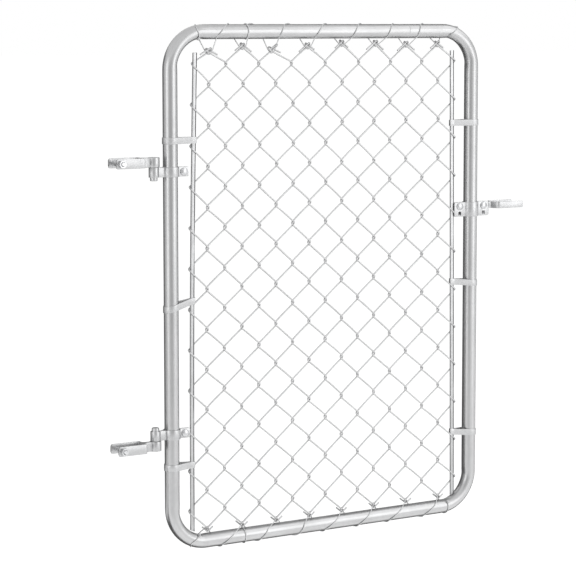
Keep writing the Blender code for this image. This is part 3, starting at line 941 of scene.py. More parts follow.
@dataclass
class WovenMesh(Assembly):
    """Sixteen zigzag wires woven side by side, knuckled in pairs at the top and bottom.

    Top knots hang unevenly, in millimetres from the left stile's middle and the top rail's. The
    pairs named after chance are the limits of what a hand-stretched mesh varies by.
    """

    bars: TensionBars
    columns: int = 16
    rows: int = 24
    wire: float = 0.0035
    sides: int = 8
    top_z: float = 0.853425
    bottom_z: float = -0.197975
    weave: float = 0.0014
    lap: float = 0.0050
    bend: float = 0.0045
    bend_steps: int = 8
    bend_trim: float = 1.35
    leg_steps: int = 6
    hook_steps: int = 9
    tail_shares: tuple[float, ...] = (1.0, 0.75, 0.5, 0.25)
    bar_share: float = 0.55
    bar_gap: float = 0.0002
    pull: float = 0.006
    pull_power: float = 2.2
    pulled_rows: int = 4
    foot_lift: float = 0.004
    top_hook: Hook = Hook(0.005, 0.0033, 0.029)
    bottom_hook: Hook = Hook(0.0035, 0.0019, 0.0155)
    eyelet: int = 4
    eyelet_hook: Hook = Hook(0.0165, 0.0028, 0.019)
    chance_corner: Pair = (-0.0006, 0.0006)
    chance_reach: Pair = (-0.0006, 0.0008)
    chance_bow: Pair = (-0.0003, 0.0009)
    chance_radius: Pair = (0.92, 1.12)
    chance_tail: Pair = (0.85, 1.12)
    chance_lift: Pair = (0.0, 0.0012)
    rng: random.Random = field(default_factory=lambda: random.Random(11))
    top_knots: tuple[Pair, ...] = (
        (93, -44), (176, -34), (248, -42), (340, -34), (429, -29), (518, -30), (600, -32), (685, -32),
    )

    def even(self, share: float, z: float) -> float:
        """Return the place between the outermost bends, which run round the bars.

        Args:
            share: How far across the mesh, from the left.
            z: At what height.

        Returns:
            The place along X.
        """
        reach = self.bars.wide / 2 + self.wire / 2 + self.bars.gap
        left = self.bars.x(Side.LEFT, z) - reach
        return left + (self.bars.x(Side.RIGHT, z) + reach - left) * share

    def knot(self, column: int, row: int) -> Vector:
        """Return where the wires of two neighbours cross, or where a wire turns round a bar.

        Args:
            column: Which one, from the left bar.
            row: Which row of knots, from the top.

        Returns:
            The place, in the gate's plane.
        """
        if row == 0:
            x, rise = self.top_knots[column // 2]
            return Vector((self.layout.left_x + x * MM, 0, self.layout.top_z + rise * MM))
        z = self.top_z + (self.bottom_z - self.top_z) * row / self.rows
        share = column / self.columns
        drift = -self.pull * math.sin(math.pi * share**self.pull_power)
        if row < self.pulled_rows and 0 < column < self.columns:
            near = 0.5**row
            drift = drift * (1 - near) + self._top_drift(column) * near
        lift = self.foot_lift if row == self.rows else 0.0
        return Vector((self.even(share, z) + drift, 0, z + lift))

    def _top_drift(self, column: int) -> float:
        """Return how far the lacing has drawn the top knots next to a column.

        Args:
            column: Which column of knots, from the left bar.

        Returns:
            The mean shift along X.
        """
        near = {max(column - 1, 0) // 2, min(column // 2, len(self.top_knots) - 1)}
        drawn = sum(self.layout.left_x + self.top_knots[index][0] * MM for index in near)
        even = sum(self.even((2 * index + 1) / self.columns, self.top_z) for index in near)
        return (drawn - even) / len(near)

    def picket(self, index: int) -> list[Vector]:
        """Return the line of one wire.

        Args:
            index: Which wire, from the left.

        Returns:
            Its points, from its upper tail to its lower tail.
        """
        sides = [1 if (index + 1 + row) % 2 else -1 for row in range(self.rows + 1)]
        columns = [index + 1 if side > 0 else index for side in sides]
        crossings = [self.knot(column, row) for row, column in enumerate(columns)]
        round_bar = self.bars.thick / 2 + self.wire / 2 + self.bar_gap
        spreads = [round_bar if column in (0, self.columns) else self.weave for column in columns]
        corners = []
        for crossing, side, column in zip(crossings, sides, columns):
            outer = column in (0, self.columns)
            reach = self.bend * self.bar_share if outer else self.lap
            wobble = 0.0 if outer else self.rng.uniform(*self.chance_corner)
            corners.append(crossing + Vector((side * reach + wobble, 0, wobble)))
        top = self.eyelet_hook if index == self.eyelet else self.top_hook
        for end, near, hook in ((0, 1, top), (-1, -2, self.bottom_hook)):
            past = hook.reach + self.rng.uniform(*self.chance_reach)
            corners[end] = crossings[end] + (crossings[end] - corners[near]).normalized() * past
        line = []
        for row in range(self.rows):
            if row:
                line += self._bend(corners[row - 1 : row + 2], sides[row], spreads[row])
            line += self._leg(corners[row : row + 2], sides[row], spreads[row : row + 2])
        head = self._hook(corners[:2], sides[0], 1, top)
        foot = self._hook(corners[:-3:-1], sides[-1], -1, self.bottom_hook)
        return head + line + foot[::-1]

    def _bend(self, corners: Sequence[Vector], side: int, spread: float) -> list[Vector]:
        """Return the rounded turn at a corner, going from one face of the mesh to the other.

        Args:
            corners: The corner before, this one and the one after.
            side: 1 where it points right, -1 where it points left.
            spread: How far in front and behind the wire runs there.

        Returns:
            The turn's points.
        """
        before, corner, after = corners
        u, v = (before - corner).normalized(), (after - corner).normalized()
        half = u.angle(v) / 2
        centre = corner + (u + v).normalized() * (self.bend / math.sin(half))
        start = corner + u * (self.bend / math.tan(half)) - centre
        end = corner + v * (self.bend / math.tan(half)) - centre
        points = []
        for step in range(self.bend_steps + 1):
            share = step / self.bend_steps
            smooth = share * share * (3 - 2 * share)
            y = side * spread * (2 * smooth - 1)
            points.append(centre + start.slerp(end, share) * self.bend + Vector((0, y, 0)))
        return points

    def _leg(self, ends: Sequence[Vector], side: int, spreads: Sequence[float]) -> list[Vector]:
        """Return the inner points of a straight run, bowed a little, on its face of the mesh.

        Args:
            ends: The corners that it runs between.
            side: 1 where it leaves a corner that points right, -1 where that points left.
            spreads: How far in front or behind it runs at both ends.

        Returns:
            The run's points.
        """
        start, end = ends
        run = end - start
        trim = self.bend * self.bend_trim / run.length
        normal = Vector((run.z, 0, -run.x)).normalized()
        bow = self.rng.uniform(*self.chance_bow) * side
        points = []
        for step in range(1, self.leg_steps):
            share = trim + (1 - 2 * trim) * step / self.leg_steps
            off = Vector((0, side * (spreads[0] + (spreads[1] - spreads[0]) * share), 0))
            points.append(start + run * share + normal * (bow * math.sin(math.pi * share)) + off)
        return points

    def _hook(self, ends: Sequence[Vector], side: int, way: int, hook: Hook) -> list[Vector]:
        """Return a knuckled end: a turn back round the neighbour and a short tail.

        Args:
            ends: Where the turn begins, past the crossing, and the last corner before it.
            side: 1 where the wire ends on its right, -1 on its left.
            way: 1 at the top of the mesh, -1 at the bottom.
            hook: Its sizes.

        Returns:
            The hook's line, from the tail's cut end to the turn's start.
        """
        tip, toward = ends
        along = (tip - toward).normalized()
        out = Vector((-along.z, 0, along.x)) * side * way
        face = side * way * self.weave
        radius = hook.radius * self.rng.uniform(*self.chance_radius)
        turn = []
        for step in range(self.hook_steps + 1):
            angle = math.pi * step / self.hook_steps
            off = Vector((0, face * (1 - 4 * step / self.hook_steps), 0))
            turn.append(tip + out * radius * (1 - math.cos(angle)) + along * radius * math.sin(angle) + off)
        length = hook.tail * self.rng.uniform(*self.chance_tail)
        lift = out * self.rng.uniform(*self.chance_lift)
        tail = [turn[-1] - along * length * share + lift * share for share in self.tail_shares]
        return tail + turn[::-1]

    def build(self) -> None:
        """Build all the wires as one woven panel."""
        bm = bmesh.new()
        section = circle(self.wire / 2, self.sides)
        for index in range(self.columns):
            sweep(bm, carried(self.picket(index)), section)
        self.add("woven_mesh", bm, Slot.MESH, Body.LEAF, ("diamond_mesh",), 60)


@dataclass
class TensionBands(Assembly):
    """Thin straps that draw the bars towards the stiles, of which some are tilted by a slope."""

    bars: TensionBars
    high: float = 0.014
    thick: float = 0.0013
    corner: float = 0.0004
    slit: float = 0.0012
    spacing: float = 0.0008
    fold: float = 0.0022
    tilts: tuple[tuple[str, float], ...] = (
        ("left_tension_band_middle", 0.22),
        ("right_tension_band_middle", 0.09),
        ("right_tension_band_lower", 0.07),
    )

    def path(self, side: Side, z: float) -> list[Vector]:
        """Return the strap's line round the stile and the bar.

        Args:
            side: Which stile.
            z: At what height.

        Returns:
            The line, which is open behind the bar by the slit.
        """
        stile = self.layout.left_x if side is Side.LEFT else self.layout.right_x
        reach = abs(self.bars.x(side, z) - stile) + self.bars.wide / 2 + self.bars.gap + self.thick / 2
        half = self.bars.thick / 2 + self.layout.seat + self.thick / 2
        radius = self.layout.tube_radius + self.layout.seat + self.thick / 2
        shoulder = Vector((reach - self.bars.wide, half, 0))
        lean = math.atan2(shoulder.y, shoulder.x)
        touch = math.degrees(lean + math.acos(radius / math.hypot(shoulder.x, shoulder.y)))
        upper = [Vector((reach, self.slit / 2, 0)), Vector((reach, half, 0)), shoulder]
        line = soften(mirrored(upper + arc(0, radius, touch, 180)), self.spacing, self.fold)
        return stand(line, stile, z, flip_x=-side.value)

    def build(self) -> None:
        """Build the six bands."""
        tilts = dict(self.tilts)
        for node in sorted(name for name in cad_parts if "tension_band" in name):
            side = Side.LEFT if node.startswith("left") else Side.RIGHT
            low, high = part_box(node)
            line = self.path(side, (low.z + high.z) / 2)
            middle = sum(spot.x for spot in line) / len(line)
            for spot in line:
                spot.z += -side.value * tilts.get(node, 0.0) * (spot.x - middle)
            bm = strap(line, self.thick, self.high, self.corner)
            self.add(node.replace("tension_band", "band"), bm, Slot.BAND, Body.LEAF, (node,))


@dataclass
class Lacing(Assembly):
    """The soft wires wound along the rails, which carry the mesh's end knots.

    Places along a rail are in millimetres from the left stile's middle, and a reach is how far the
    wire's front stretch begins and ends from its knot. A start, front, back or end is a stretch of
    wire, by its points' places, or shares of the way, with their turns in degrees round the rail.
    An eye is the wire's points about a knot, in metres from it.
    """

    mesh: WovenMesh
    wire: float = 0.0022
    sides: int = 8
    steps: int = 6
    stand_off: float = 0.00125
    coil: float = 0.0021
    coil_pitch: float = 0.0024
    coil_turns: int = 3
    coil_steps: int = 10
    splice_steps: int = 24
    splice_reach: float = 5.0
    splice_start: float = -74
    splice_turn: float = 13.5
    top_splice: float = 181.5
    top_reach: Stretch = ((14, 40), (7, 7), (13, 28), (13, 35), (20, 38), (23, 38), (22, 34), (0, 0))
    top_start: Stretch = ((60, -62), (61, -36), (61, -8), (60, 25), (61, 58))
    top_turn_start: float = 60
    top_turns: tuple[float, ...] = (90, 125, 160, 195, 225)
    top_corner_end: float = 74
    top_behind: float = 15
    top_front: Stretch = ((0.0, -48), (0.18, -20), (0.42, 8), (0.7, 34), (1.0, 60))
    top_eye: Spots = ((-0.005, 0.0042, 0.002), (0.0005, 0.0, -0.0042), (0.0055, -0.005, 0.002))
    top_end: Stretch = (
        (701, 232), (709, 198), (717, 162), (725, 126), (731, 92),
        (731, 60), (726, 26), (719, -8), (712, -42),
    )
    bottom_splice: float = 172.0
    bottom_reach: Stretch = ((39, 24), (53, 27), (44, 27), (31, 20), (47, 19), (44, 20), (49, 22), (43, 17))
    bottom_start: Stretch = ((58, -66), (54, -36), (48, -2), (44, 30))
    bottom_first: Stretch = ((0.1, 66), (0.3, 104), (0.5, 142), (0.7, 180), (0.9, 220))
    bottom_first_ends: Pair = (44, 70)
    bottom_back: Stretch = ((0.12, 248), (0.25, 212), (0.4, 178), (0.55, 144), (0.7, 110), (0.85, 78))
    bottom_front: Stretch = ((-0.12, 44), (0.22, 18), (0.62, -8), (1.0, -34))
    bottom_corner: Spots = ((-0.006, 0.005, -0.002),)
    bottom_entry: Spots = ((-0.005, -0.0048, -0.002),)
    bottom_eye: Spots = ((0.0, 0.0, 0.0042), (0.0045, 0.005, -0.001))
    bottom_past: float = 6
    bottom_turns: tuple[float, ...] = (248, 212, 178, 144, 110, 78, 46, 15, -20, -52)
    bottom_sweep: float = 300
    bottom_stop: float = 716

    def around(self, outward: int, along: float, turn: float) -> Vector:
        """Return a point on a rail's surface where the wire lies.

        Args:
            outward: 1 for the top rail, -1 for the bottom rail.
            along: Its place along the rail.
            turn: Angle in degrees from the front, 90 at the rail's outer side.

        Returns:
            The point.
        """
        place = self.layout
        bend = place.bend_radius
        x = place.left_x + along * MM
        run = max(0.0, place.left_x + bend - x, x - (place.right_x - bend))
        side = -1 if x < place.middle_x else 1
        lean = math.asin(min(run / bend, 1.0))
        rail_z = place.top_z if outward > 0 else place.bottom_z
        centre = Vector((x, 0, rail_z - outward * bend * (1 - math.cos(lean))))
        normal = Vector((side * math.sin(lean), 0, outward * math.cos(lean)))
        forward, out = polar(place.tube_radius + self.stand_off, math.radians(turn))
        return centre + Vector((0, -forward, 0)) + normal * out

    def wound(
        self, outward: int, steps: Iterable[Pair], start: float = 0.0, end: float = 1.0
    ) -> list[Vector]:
        """Return points of a stretch that winds round a rail.

        Args:
            outward: 1 for the top rail, -1 for the bottom rail.
            steps: Each point's share of the way from start to end, and its turn.
            start: Where a share of 0 lies along the rail.
            end: Where a share of 1 lies.

        Returns:
            The points.
        """
        return [self.around(outward, start + (end - start) * share, turn) for share, turn in steps]

    def top_line(self) -> list[Vector]:
        """Lay out the upper wire from its first twist to its last.

        Returns:
            The points that it goes through.
        """
        points = self.wound(1, self.top_start)
        last = float(self.top_start[-1][0])
        first, span = self.top_turn_start, self.top_turns[-1] - self.top_turn_start
        back = [(math.sin(math.pi / 2 * (turn - first) / span), turn) for turn in self.top_turns]
        for index, ((x, _), (low, high)) in enumerate(zip(self.mesh.top_knots, self.top_reach)):
            behind = x - self.top_behind if index else self.top_corner_end
            points += self.wound(1, back, last, behind)
            front = 1 if index + 1 < len(self.top_reach) else -1
            knot = self.mesh.knot(2 * index + 1, 0)
            points += [knot + Vector((along, deep * front, up)) for along, deep, up in self.top_eye]
            if front > 0:
                points += self.wound(1, self.top_front, x + low, x + high)
                last = x + high
        return points + self.wound(1, self.top_end)

    def bottom_line(self) -> list[Vector]:
        """Lay out the lower wire from its first twist to its last.

        Returns:
            The points that it goes through.
        """
        points = self.wound(-1, self.bottom_start)
        points += self.wound(-1, self.bottom_first, *self.bottom_first_ends)
        last = 0.0
        for index, (low, high) in enumerate(self.bottom_reach):
            knot = self.mesh.knot(2 * index + 1, self.mesh.rows)
            x = (knot.x - self.layout.left_x) / MM
            if index:
                points += self.wound(-1, self.bottom_back, last, x - low)
                points += self.wound(-1, self.bottom_front, x - low, x - high)
            entry = self.bottom_entry if index else self.bottom_corner
            points += [knot + Vector(spot) for spot in entry + self.bottom_eye]
            last = x + self.bottom_past
        behind = self.bottom_turns[0]
        steps = [((behind - turn) / self.bottom_sweep, turn) for turn in self.bottom_turns]
        return points + self.wound(-1, steps, last, self.bottom_stop)

    def splice(self, outward: int, start: float) -> list[Vector]:
        """Lay out the extra turn that doubles a lace where two lengths of it meet.

        Args:
            outward: 1 for the top rail, -1 for the bottom rail.
            start: Where it begins along the rail.

        Returns:
            The turn's line.
        """
        turns = (self.splice_start + self.splice_turn * step for step in range(self.splice_steps + 1))
        steps = [(step / self.splice_steps, turn) for step, turn in enumerate(turns)]
        return self.wound(outward, steps, start, start + self.splice_reach)

    def twist(self, line: Sequence[Vector]) -> list[Vector]:
        """Return a tight coil round a line's first stretch, which finishes the wire's end.

        Args:
            line: The wire's line.

        Returns:
            The coil's line.
        """
        along = (line[2] - line[0]).normalized()
        across = along.cross(BACK).normalized()
        up = across.cross(along)
        points = []
        for step in range(self.coil_turns * self.coil_steps + 1):
            x, y = polar(self.coil, math.tau * step / self.coil_steps)
            spot = line[0] + along * (self.coil_pitch * step / self.coil_steps)
            points.append(spot + across * x + up * y)
        return points

    def build(self) -> None:
        """Build both wires with their twisted ends."""
        section = circle(self.wire / 2, self.sides)
        rails = (
            ("top", 1, self.top_line(), self.top_splice),
            ("bottom", -1, self.bottom_line(), self.bottom_splice),
        )
        for rail, outward, corners, start in rails:
            line = flowing(corners, self.steps)
            bm = bmesh.new()
            for run in (line, self.splice(outward, start), self.twist(line), self.twist(line[::-1])):
                sweep(bm, carried(run), section)
            self.add(rail + "_lace", bm, Slot.LACE, Body.LEAF, (rail + "_lacing_wire",), 60)


@dataclass
class Fasteners(Assembly):
    """Carriage bolts and hexagon nuts, whose spreads and rises are shares of the diameter."""

    diameter: float = 0.00794
    head_spread: float = 2.14
    head_rise: float = 0.52
    pitch: float = 0.0014
    thread: float = 0.00045
    threaded: float = 0.012
    nut_spread: float = 1.85
    nut_rise: float = 0.86
    nut_bevel: float = 0.0007
    nut_sides: int = 48
    nut_face: float = 0.97
    nut_chamfer: float = 0.0002
    nut_chamfer_share: float = 0.6
    nut_gap: float = 0.0001
    tail: float = 0.003
    tip: float = 0.0009
    tip_reach: float = 0.0012
    rim_share: float = 0.14
    underside_share: float = 0.96
    dome_steps: int = 8

    def bolt(self, grip: float, place: Matrix) -> BMesh:
        """Return a bolt with a domed head and a threaded end.

        Args:
            grip: Distance between the head's seat and the nut's.
            place: The head's seat, with the head along its +Z.

        Returns:
            The bolt's mesh.
        """
        head = self.diameter * self.head_spread / 2
        rise = self.diameter * self.head_rise
        edge = rise * self.rim_share
        profile = [(0.0, rise)]
        for step in range(1, self.dome_steps + 1):
            up, out = polar(1.0, math.pi / 2 * step / self.dome_steps)
            profile.append((head * out, edge + (rise - edge) * up))
        shank = self.diameter / 2
        height = -max(0.0, grip - self.threaded)
        profile += [(head, edge / 2), (head * self.underside_share, 0.0), (shank, 0.0), (shank, height)]
        end = -(grip + self.diameter * self.nut_rise + 2 * self.layout.seat + self.tail)
        while height - self.pitch > end + self.tip_reach:
            profile += [(shank - self.thread, height - self.pitch / 2), (shank, height - self.pitch)]
            height -= self.pitch
        profile += [(shank - self.tip, end), (0.0, end)]
        bm = bmesh.new()
        lathe(bm, profile, place)
        return bm

    def nut(self, place: Matrix) -> BMesh:
        """Return a nut with chamfered corners.

        Args:
            place: Its seat, from which it rises along +Z.

        Returns:
            The nut's mesh.
        """
        flat = self.diameter * self.nut_spread / 2 * math.cos(math.pi / 6)
        rise = self.diameter * self.nut_rise
        bore = self.diameter / 2 + self.nut_gap
        face = flat * self.nut_face
        columns = []
        for side in range(self.nut_sides):
            turn = math.tau * side / self.nut_sides
            out = flat / math.cos(turn % (math.pi / 3) - math.pi / 6)
            chamfer = (out - flat) * self.nut_chamfer_share + self.nut_chamfer
            outside = [(face, 0.0), (out, chamfer), (out, rise - chamfer), (face, rise)]
            inside = [(bore + self.nut_bevel, rise), (bore, rise - self.nut_bevel)]
            profile = [(bore, 0.0), *outside, *inside]
            columns.append([place @ Vector((*polar(radius, turn), height)) for radius, height in profile])
        bm = bmesh.new()
        rings = [[bm.verts.new(spot) for spot in ring] for ring in zip(*columns)]
        skin(bm, [*rings, rings[0]])
        return bm

    def fix(self, prefix: str, x: float, z: float, half_grip: float, head_side: int, body: Body) -> None:
        """Build a bolt and its nut across the gate's plane.

        Args:
            prefix: Start of the pieces' and the nodes' names.
            x: Where the bolt is.
            z: At what height.
            half_grip: How far the clamped pieces reach from the gate's plane.
            head_side: -1 for a head in front, 1 for one behind.
            body: The body that both ride on.
        """
        grip = 2 * (half_grip + self.layout.seat)
        bolt = self.bolt(grip, facing(x, head_side * grip / 2, z, head_side))
        nut = self.nut(facing(x, -head_side * grip / 2, z, -head_side))
        self.add(prefix + "_carriage_bolt", bolt, Slot.BOLT, body, (prefix + "_bolt",), 40)
        self.add(prefix + "_hex_nut", nut, Slot.BOLT, body, (prefix + "_nut",), 24)


@dataclass
class Hinge(Assembly):
    """One hinge: the post's strap with its pin, and the gate's strap that turns on it."""

    prefix: str
    z: float
    pin_way: int
    post: float = 0.0349
    post_thick: float = 0.003
    leg: float = 0.065
    post_bolt_back: float = 0.0115
    post_bolt: float = 0.00953
    post_pitch: float = 0.0016
    barrel: float = 0.0125
    barrel_bevel: float = 0.0011
    barrel_slant: float = 0.3
    barrel_sides: int = 64
    bore_bevel: float = 0.0005
    bore_gap: float = 0.0002
    post_edge: float = 0.0008
    post_spacing: float = 0.001
    web_fold: float = 0.0034
    leg_end: float = 0.0045
    neck: float = 0.010
    neck_steps: int = 12
    neck_start_share: float = 0.6
    neck_overlap: float = 0.001
    neck_high_share: float = 0.985
    neck_corner: float = 0.12
    web_flare: float = 0.55
    barrel_flare: float = 0.25
    pin: float = 0.00795
    pin_tail: float = 0.0075
    pin_seat: float = 0.0003
    pin_bevel: float = 0.0006
    pin_round: float = 0.002
    pin_shoulder: float = 0.0022
    pin_steps: int = 5
    pin_crown: float = 0.0001
    pin_crown_share: float = 0.45
    gate_thick: float = 0.0026
    gate_neck: float = 0.010
    gate_gap: float = 0.0003
    gate_edge: float = 0.0007
    gate_spacing: float = 0.0008
    gate_fold: float = 0.0024
    ear_spread: float = 0.0056
    ear_reach: float = 0.042
    ear_end: float = 0.0022
    bolt_reach: float = 0.030

    def build(self) -> None:
        """Build every piece of the hinge."""
        self.build_post_strap()
        self.build_pin()
        self.build_gate_strap()
        large = Fasteners(self.layout, self.finishes, diameter=self.post_bolt, pitch=self.post_pitch)
        x = self.post_bolt_back - self.leg
        large.fix(self.prefix + "_post_hinge", x, self.z, self.post / 2 + self.post_thick, 1, Body.POST)
        small = Fasteners(self.layout, self.finishes)
        x = self.layout.left_x + self.bolt_reach
        half = (self.ear_spread + self.gate_thick) / 2
        small.fix(self.prefix + "_gate_hinge", x, self.gate_z, half, -1, Body.LEAF)

    @property
    def gate_z(self) -> float:
        """Height of the gate's strap."""
        return self.z + self.pin_way * self.layout.hinge_step

    def build_post_strap(self) -> None:
        """Build the strap round the post, with its neck and barrel."""
        middle = (self.post + self.post_thick) / 2
        web = self.post_thick / 2
        corners = ((-self.leg, middle), (web, middle), (web, -middle), (-self.leg, -middle))
        line = soften([Vector((x, y, self.z)) for x, y in corners], self.post_spacing, self.web_fold)
        high = self.layout.strap_high
        bm = strap(line, self.post_thick, high, self.post_edge, self.leg_end)
        self._neck(bm)
        top, outer, bevel = high / 2, self.barrel, self.barrel_bevel
        slant = bevel * self.barrel_slant
        bore = self.pin + self.bore_gap
        rim = (bore + self.bore_bevel, -top)
        lower = [rim, (outer - bevel, -top), (outer - slant, slant - top), (outer, bevel - top)]
        upper = [(radius, -height) for radius, height in reversed(lower)]
        wall = [(bore, top - self.bore_bevel), (bore, self.bore_bevel - top), rim]
        place = Matrix.Translation((self.layout.pin_x, 0, self.z))
        lathe(bm, lower + upper + wall, place, self.barrel_sides)
        nodes = (self.prefix + "_post_hinge_strap",)
        self.add(self.prefix + "_post_strap", bm, Slot.FITTING, Body.POST, nodes, 30)

    def _neck(self, bm: BMesh) -> None:
        """Add the neck, which flares into the web and meets the barrel.

        Args:
            bm: The mesh to add to.
        """
        start = self.post_thick * self.neck_start_share
        end = self.layout.pin_x - self.pin - self.neck_overlap
        high = self.layout.strap_high * self.neck_high_share
        stations = []
        for step in range(self.neck_steps + 1):
            share = step / self.neck_steps
            flare = 1 + self.web_flare * (1 - share) ** 4 + self.barrel_flare * share**6
            centre = Vector((start + (end - start) * share, 0, self.z))
            stations.append(Station(centre, BACK, UP, self.neck * flare, high))
        sweep(bm, stations, slab(1.0, 1.0, self.neck_corner, 3))

    def build_pin(self) -> None:
        """Build the pin, rounded at its free end."""
        length = self.layout.strap_high + self.layout.hinge_step + self.pin_tail
        seat, bevel = self.pin_seat, self.pin_bevel
        profile = [(0.0, seat), (self.pin - bevel, seat), (self.pin, seat + bevel)]
        profile.append((self.pin, length - self.pin_shoulder))
        for step in range(1, self.pin_steps + 1):
            up, out = polar(self.pin_round, math.pi / 2 * step / self.pin_steps)
            profile.append((self.pin - self.pin_round + up, length - self.pin_round + out))
        profile += [(self.pin * self.pin_crown_share, length - self.pin_crown), (0.0, length)]
        foot = Matrix.Translation((self.layout.pin_x, 0, self.z - self.pin_way * self.layout.strap_high / 2))
        if self.pin_way < 0:
            foot = foot @ Matrix.Rotation(math.pi, 4, "X")
        bm = bmesh.new()
        lathe(bm, profile, foot)
        nodes = (self.prefix + "_hinge_pin",)
        self.add(self.prefix + "_round_pin", bm, Slot.PIN, Body.POST, nodes, 40)

    def build_gate_strap(self) -> None:
        """Build the strap rolled round the pin and folded over the stile to its ears."""
        thick, high = self.gate_thick, self.layout.strap_high
        roll = self.pin + self.gate_gap + thick / 2
        hug = self.layout.tube_radius + self.layout.seat + thick / 2
        neck, ear = self.gate_neck / 2, self.ear_spread / 2
        last = math.degrees(math.asin(ear / hug))
        first = 180 - math.degrees(math.asin(neck / hug))
        turn = math.degrees(math.asin(neck / roll))
        half = [Vector((self.ear_reach, ear, 0))] + arc(0, hug, last, first)
        half += arc(self.layout.pin_x - self.layout.left_x, roll, turn, 180)
        line = soften(mirrored(half), self.gate_spacing, self.gate_fold)
        line = stand(line, self.layout.left_x, self.gate_z)
        nodes = (self.prefix + "_gate_hinge_strap",)
        bm = strap(line, thick, high, self.gate_edge, self.ear_end)
        self.add(self.prefix + "_gate_strap", bm, Slot.FITTING, Body.LEAF, nodes, 30)


@dataclass
class Latch(Assembly):
    """The latch: two clamp plates bolted over the right stile and a lifting fork."""

    clamp_z: float = 0.4695
    clamp_high: float = 0.033
    clamp_thick: float = 0.0026
    clamp_spacing: float = 0.0008
    clamp_fold: float = 0.003
    clamp_edge: float = 0.0007
    clamp_end: float = 0.0036
    ear_reach: float = 0.0485
    bolt_reach: float = 0.0335
    bolt_rise: float = 0.007
    spare_drop: float = 0.0095
    hole_wide: float = 0.0078
    hole_high: float = 0.0092
    hole_corner: float = 0.0014
    cut_reach: float = 0.004
    heel_thick: float = 0.0062
    side_gap: float = 0.0004
    heel: float = 0.0075
    heel_fold: float = 0.0015
    heel_step: float = 30
    flare_start: float = 0.022
    flare_start_past: float = 0.0022
    flare_end: float = 0.031
    flare_end_past: float = 0.0015
    flare_share: float = 0.4
    foot_radius: float = 0.003
    shoulder_radius: float = 0.008
    fork_reach: float = 0.1015
    opening: float = 0.041
    tine_high: float = 0.015
    tine_thick: float = 0.003
    tine_edge: float = 0.0008
    tine_end: float = 0.0026
    fork_spacing: float = 0.0007

    @property
    def bolt_z(self) -> float:
        """Height of the two bolts."""
        return self.clamp_z + self.bolt_rise

    def build(self) -> None:
        """Build every piece of the latch."""
        self.build_clamp("front_clamp", -1)
        self.build_clamp("back_clamp", 1)
        half = self.heel_thick / 2 + self.side_gap + self.clamp_thick
        bolts = Fasteners(self.layout, self.finishes)
        for prefix, side in (("latch_inner", -1), ("latch_pivot", 1)):
            bolts.fix(prefix, self.layout.right_x + side * self.bolt_reach, self.bolt_z, half, -1, Body.LEAF)
        self.build_fork()

    def build_clamp(self, name: str, front: int) -> None:
        """Build one plate, pressed over the stile, with its spare square holes.

        Args:
            name: The piece's name.
            front: -1 for the front plate, 1 for the back one.
        """
        flat = self.heel_thick / 2 + self.side_gap + self.clamp_thick / 2
        hug = self.layout.tube_radius + self.layout.seat + self.clamp_thick / 2
        bend = math.degrees(math.asin(flat / hug))
        left, right = (Vector((side * self.ear_reach, flat, 0)) for side in (-1, 1))
        line = [left, *arc(0, hug, 180 - bend, bend), right]
        line = soften(line, self.clamp_spacing, self.clamp_fold)
        line = stand(line, self.layout.right_x, self.clamp_z, flip_y=front)
        bm = strap(line, self.clamp_thick, self.clamp_high, self.clamp_edge, self.clamp_end)
        cutters = [self._square(side, front * flat) for side in (-1, 1)]
        self.add(name, bm, Slot.FITTING, Body.LEAF, ("latch_" + name,), 30, cutters)

    def _square(self, side: int, y: float) -> Object:
        """Return the shape of a spare square hole.

        Args:
            side: -1 for the hole left of the stile, 1 for the one on its right.
            y: The plate's middle.

        Returns:
            The shape, as an object.
        """
        x = self.layout.right_x + side * self.bolt_reach
        z = self.clamp_z - self.spare_drop
        spots = (Vector((x, y + offset, z)) for offset in (-self.cut_reach, self.cut_reach))
        stations = [Station(spot, Vector((1, 0, 0)), UP) for spot in spots]
        bm = bmesh.new()
        sweep(bm, stations, slab(self.hole_wide, self.hole_high, self.hole_corner, 3))
        return dressed("hole_cutter", bm, self.finishes[Slot.FITTING])

    def build_fork(self) -> None:
        """Build the fork from one strip, folded at its heel and flared into two tines."""
        ply = self.heel_thick / 4
        outer = self.opening / 2 + self.tine_thick / 2
        tip = Vector((self.fork_reach, outer, 0))
        corner = Vector((self.flare_end + self.flare_end_past, outer, 0))
        foot = Vector((self.flare_start + self.flare_start_past, ply, 0))
        heel = Vector((self.tine_thick / 2 + ply - self.heel, ply, 0))
        middle = foot.lerp(corner, self.flare_share)
        half = soften([tip, corner, middle], self.fork_spacing, self.shoulder_radius)
        half += soften([middle, foot, heel], self.fork_spacing, self.foot_radius)[1:]
        half += arc(heel.x, ply, 90, 180, self.heel_step)[1:]
        line = soften(mirrored(half), self.fork_spacing, self.heel_fold)
        line = stand(line, self.layout.right_x + self.bolt_reach, self.bolt_z)
        bm = strap(line, self.tine_thick, self.tine_high, self.tine_edge, self.tine_end)
        self.add("lifting_fork", bm, Slot.FITTING, Body.FORK, ("latch_fork",), 30)


# The studio


@dataclass(frozen=True)
class Flat:
    """A tall studio panel that only reflections see, between two bearings and two elevations."""

    name: str
    start: float
    end: float
    low: float
    high: float
    level: float


@dataclass(frozen=True)
class Board:
    """A board on the floor that only reflections see, by its ends along X and Y. Two are painted light: a
    shadow of the gate on the floor, and a pool of light in front of it.
    """

    name: str
    x: Pair
    y: Pair
    level: float


@dataclass(frozen=True)
class Lamp:
    """A soft lamp, by its bearing, elevation, distance, size and how bright its face is."""

    name: str
    turn: float
    rise: float
    away: float
    size: Pair
    level: float


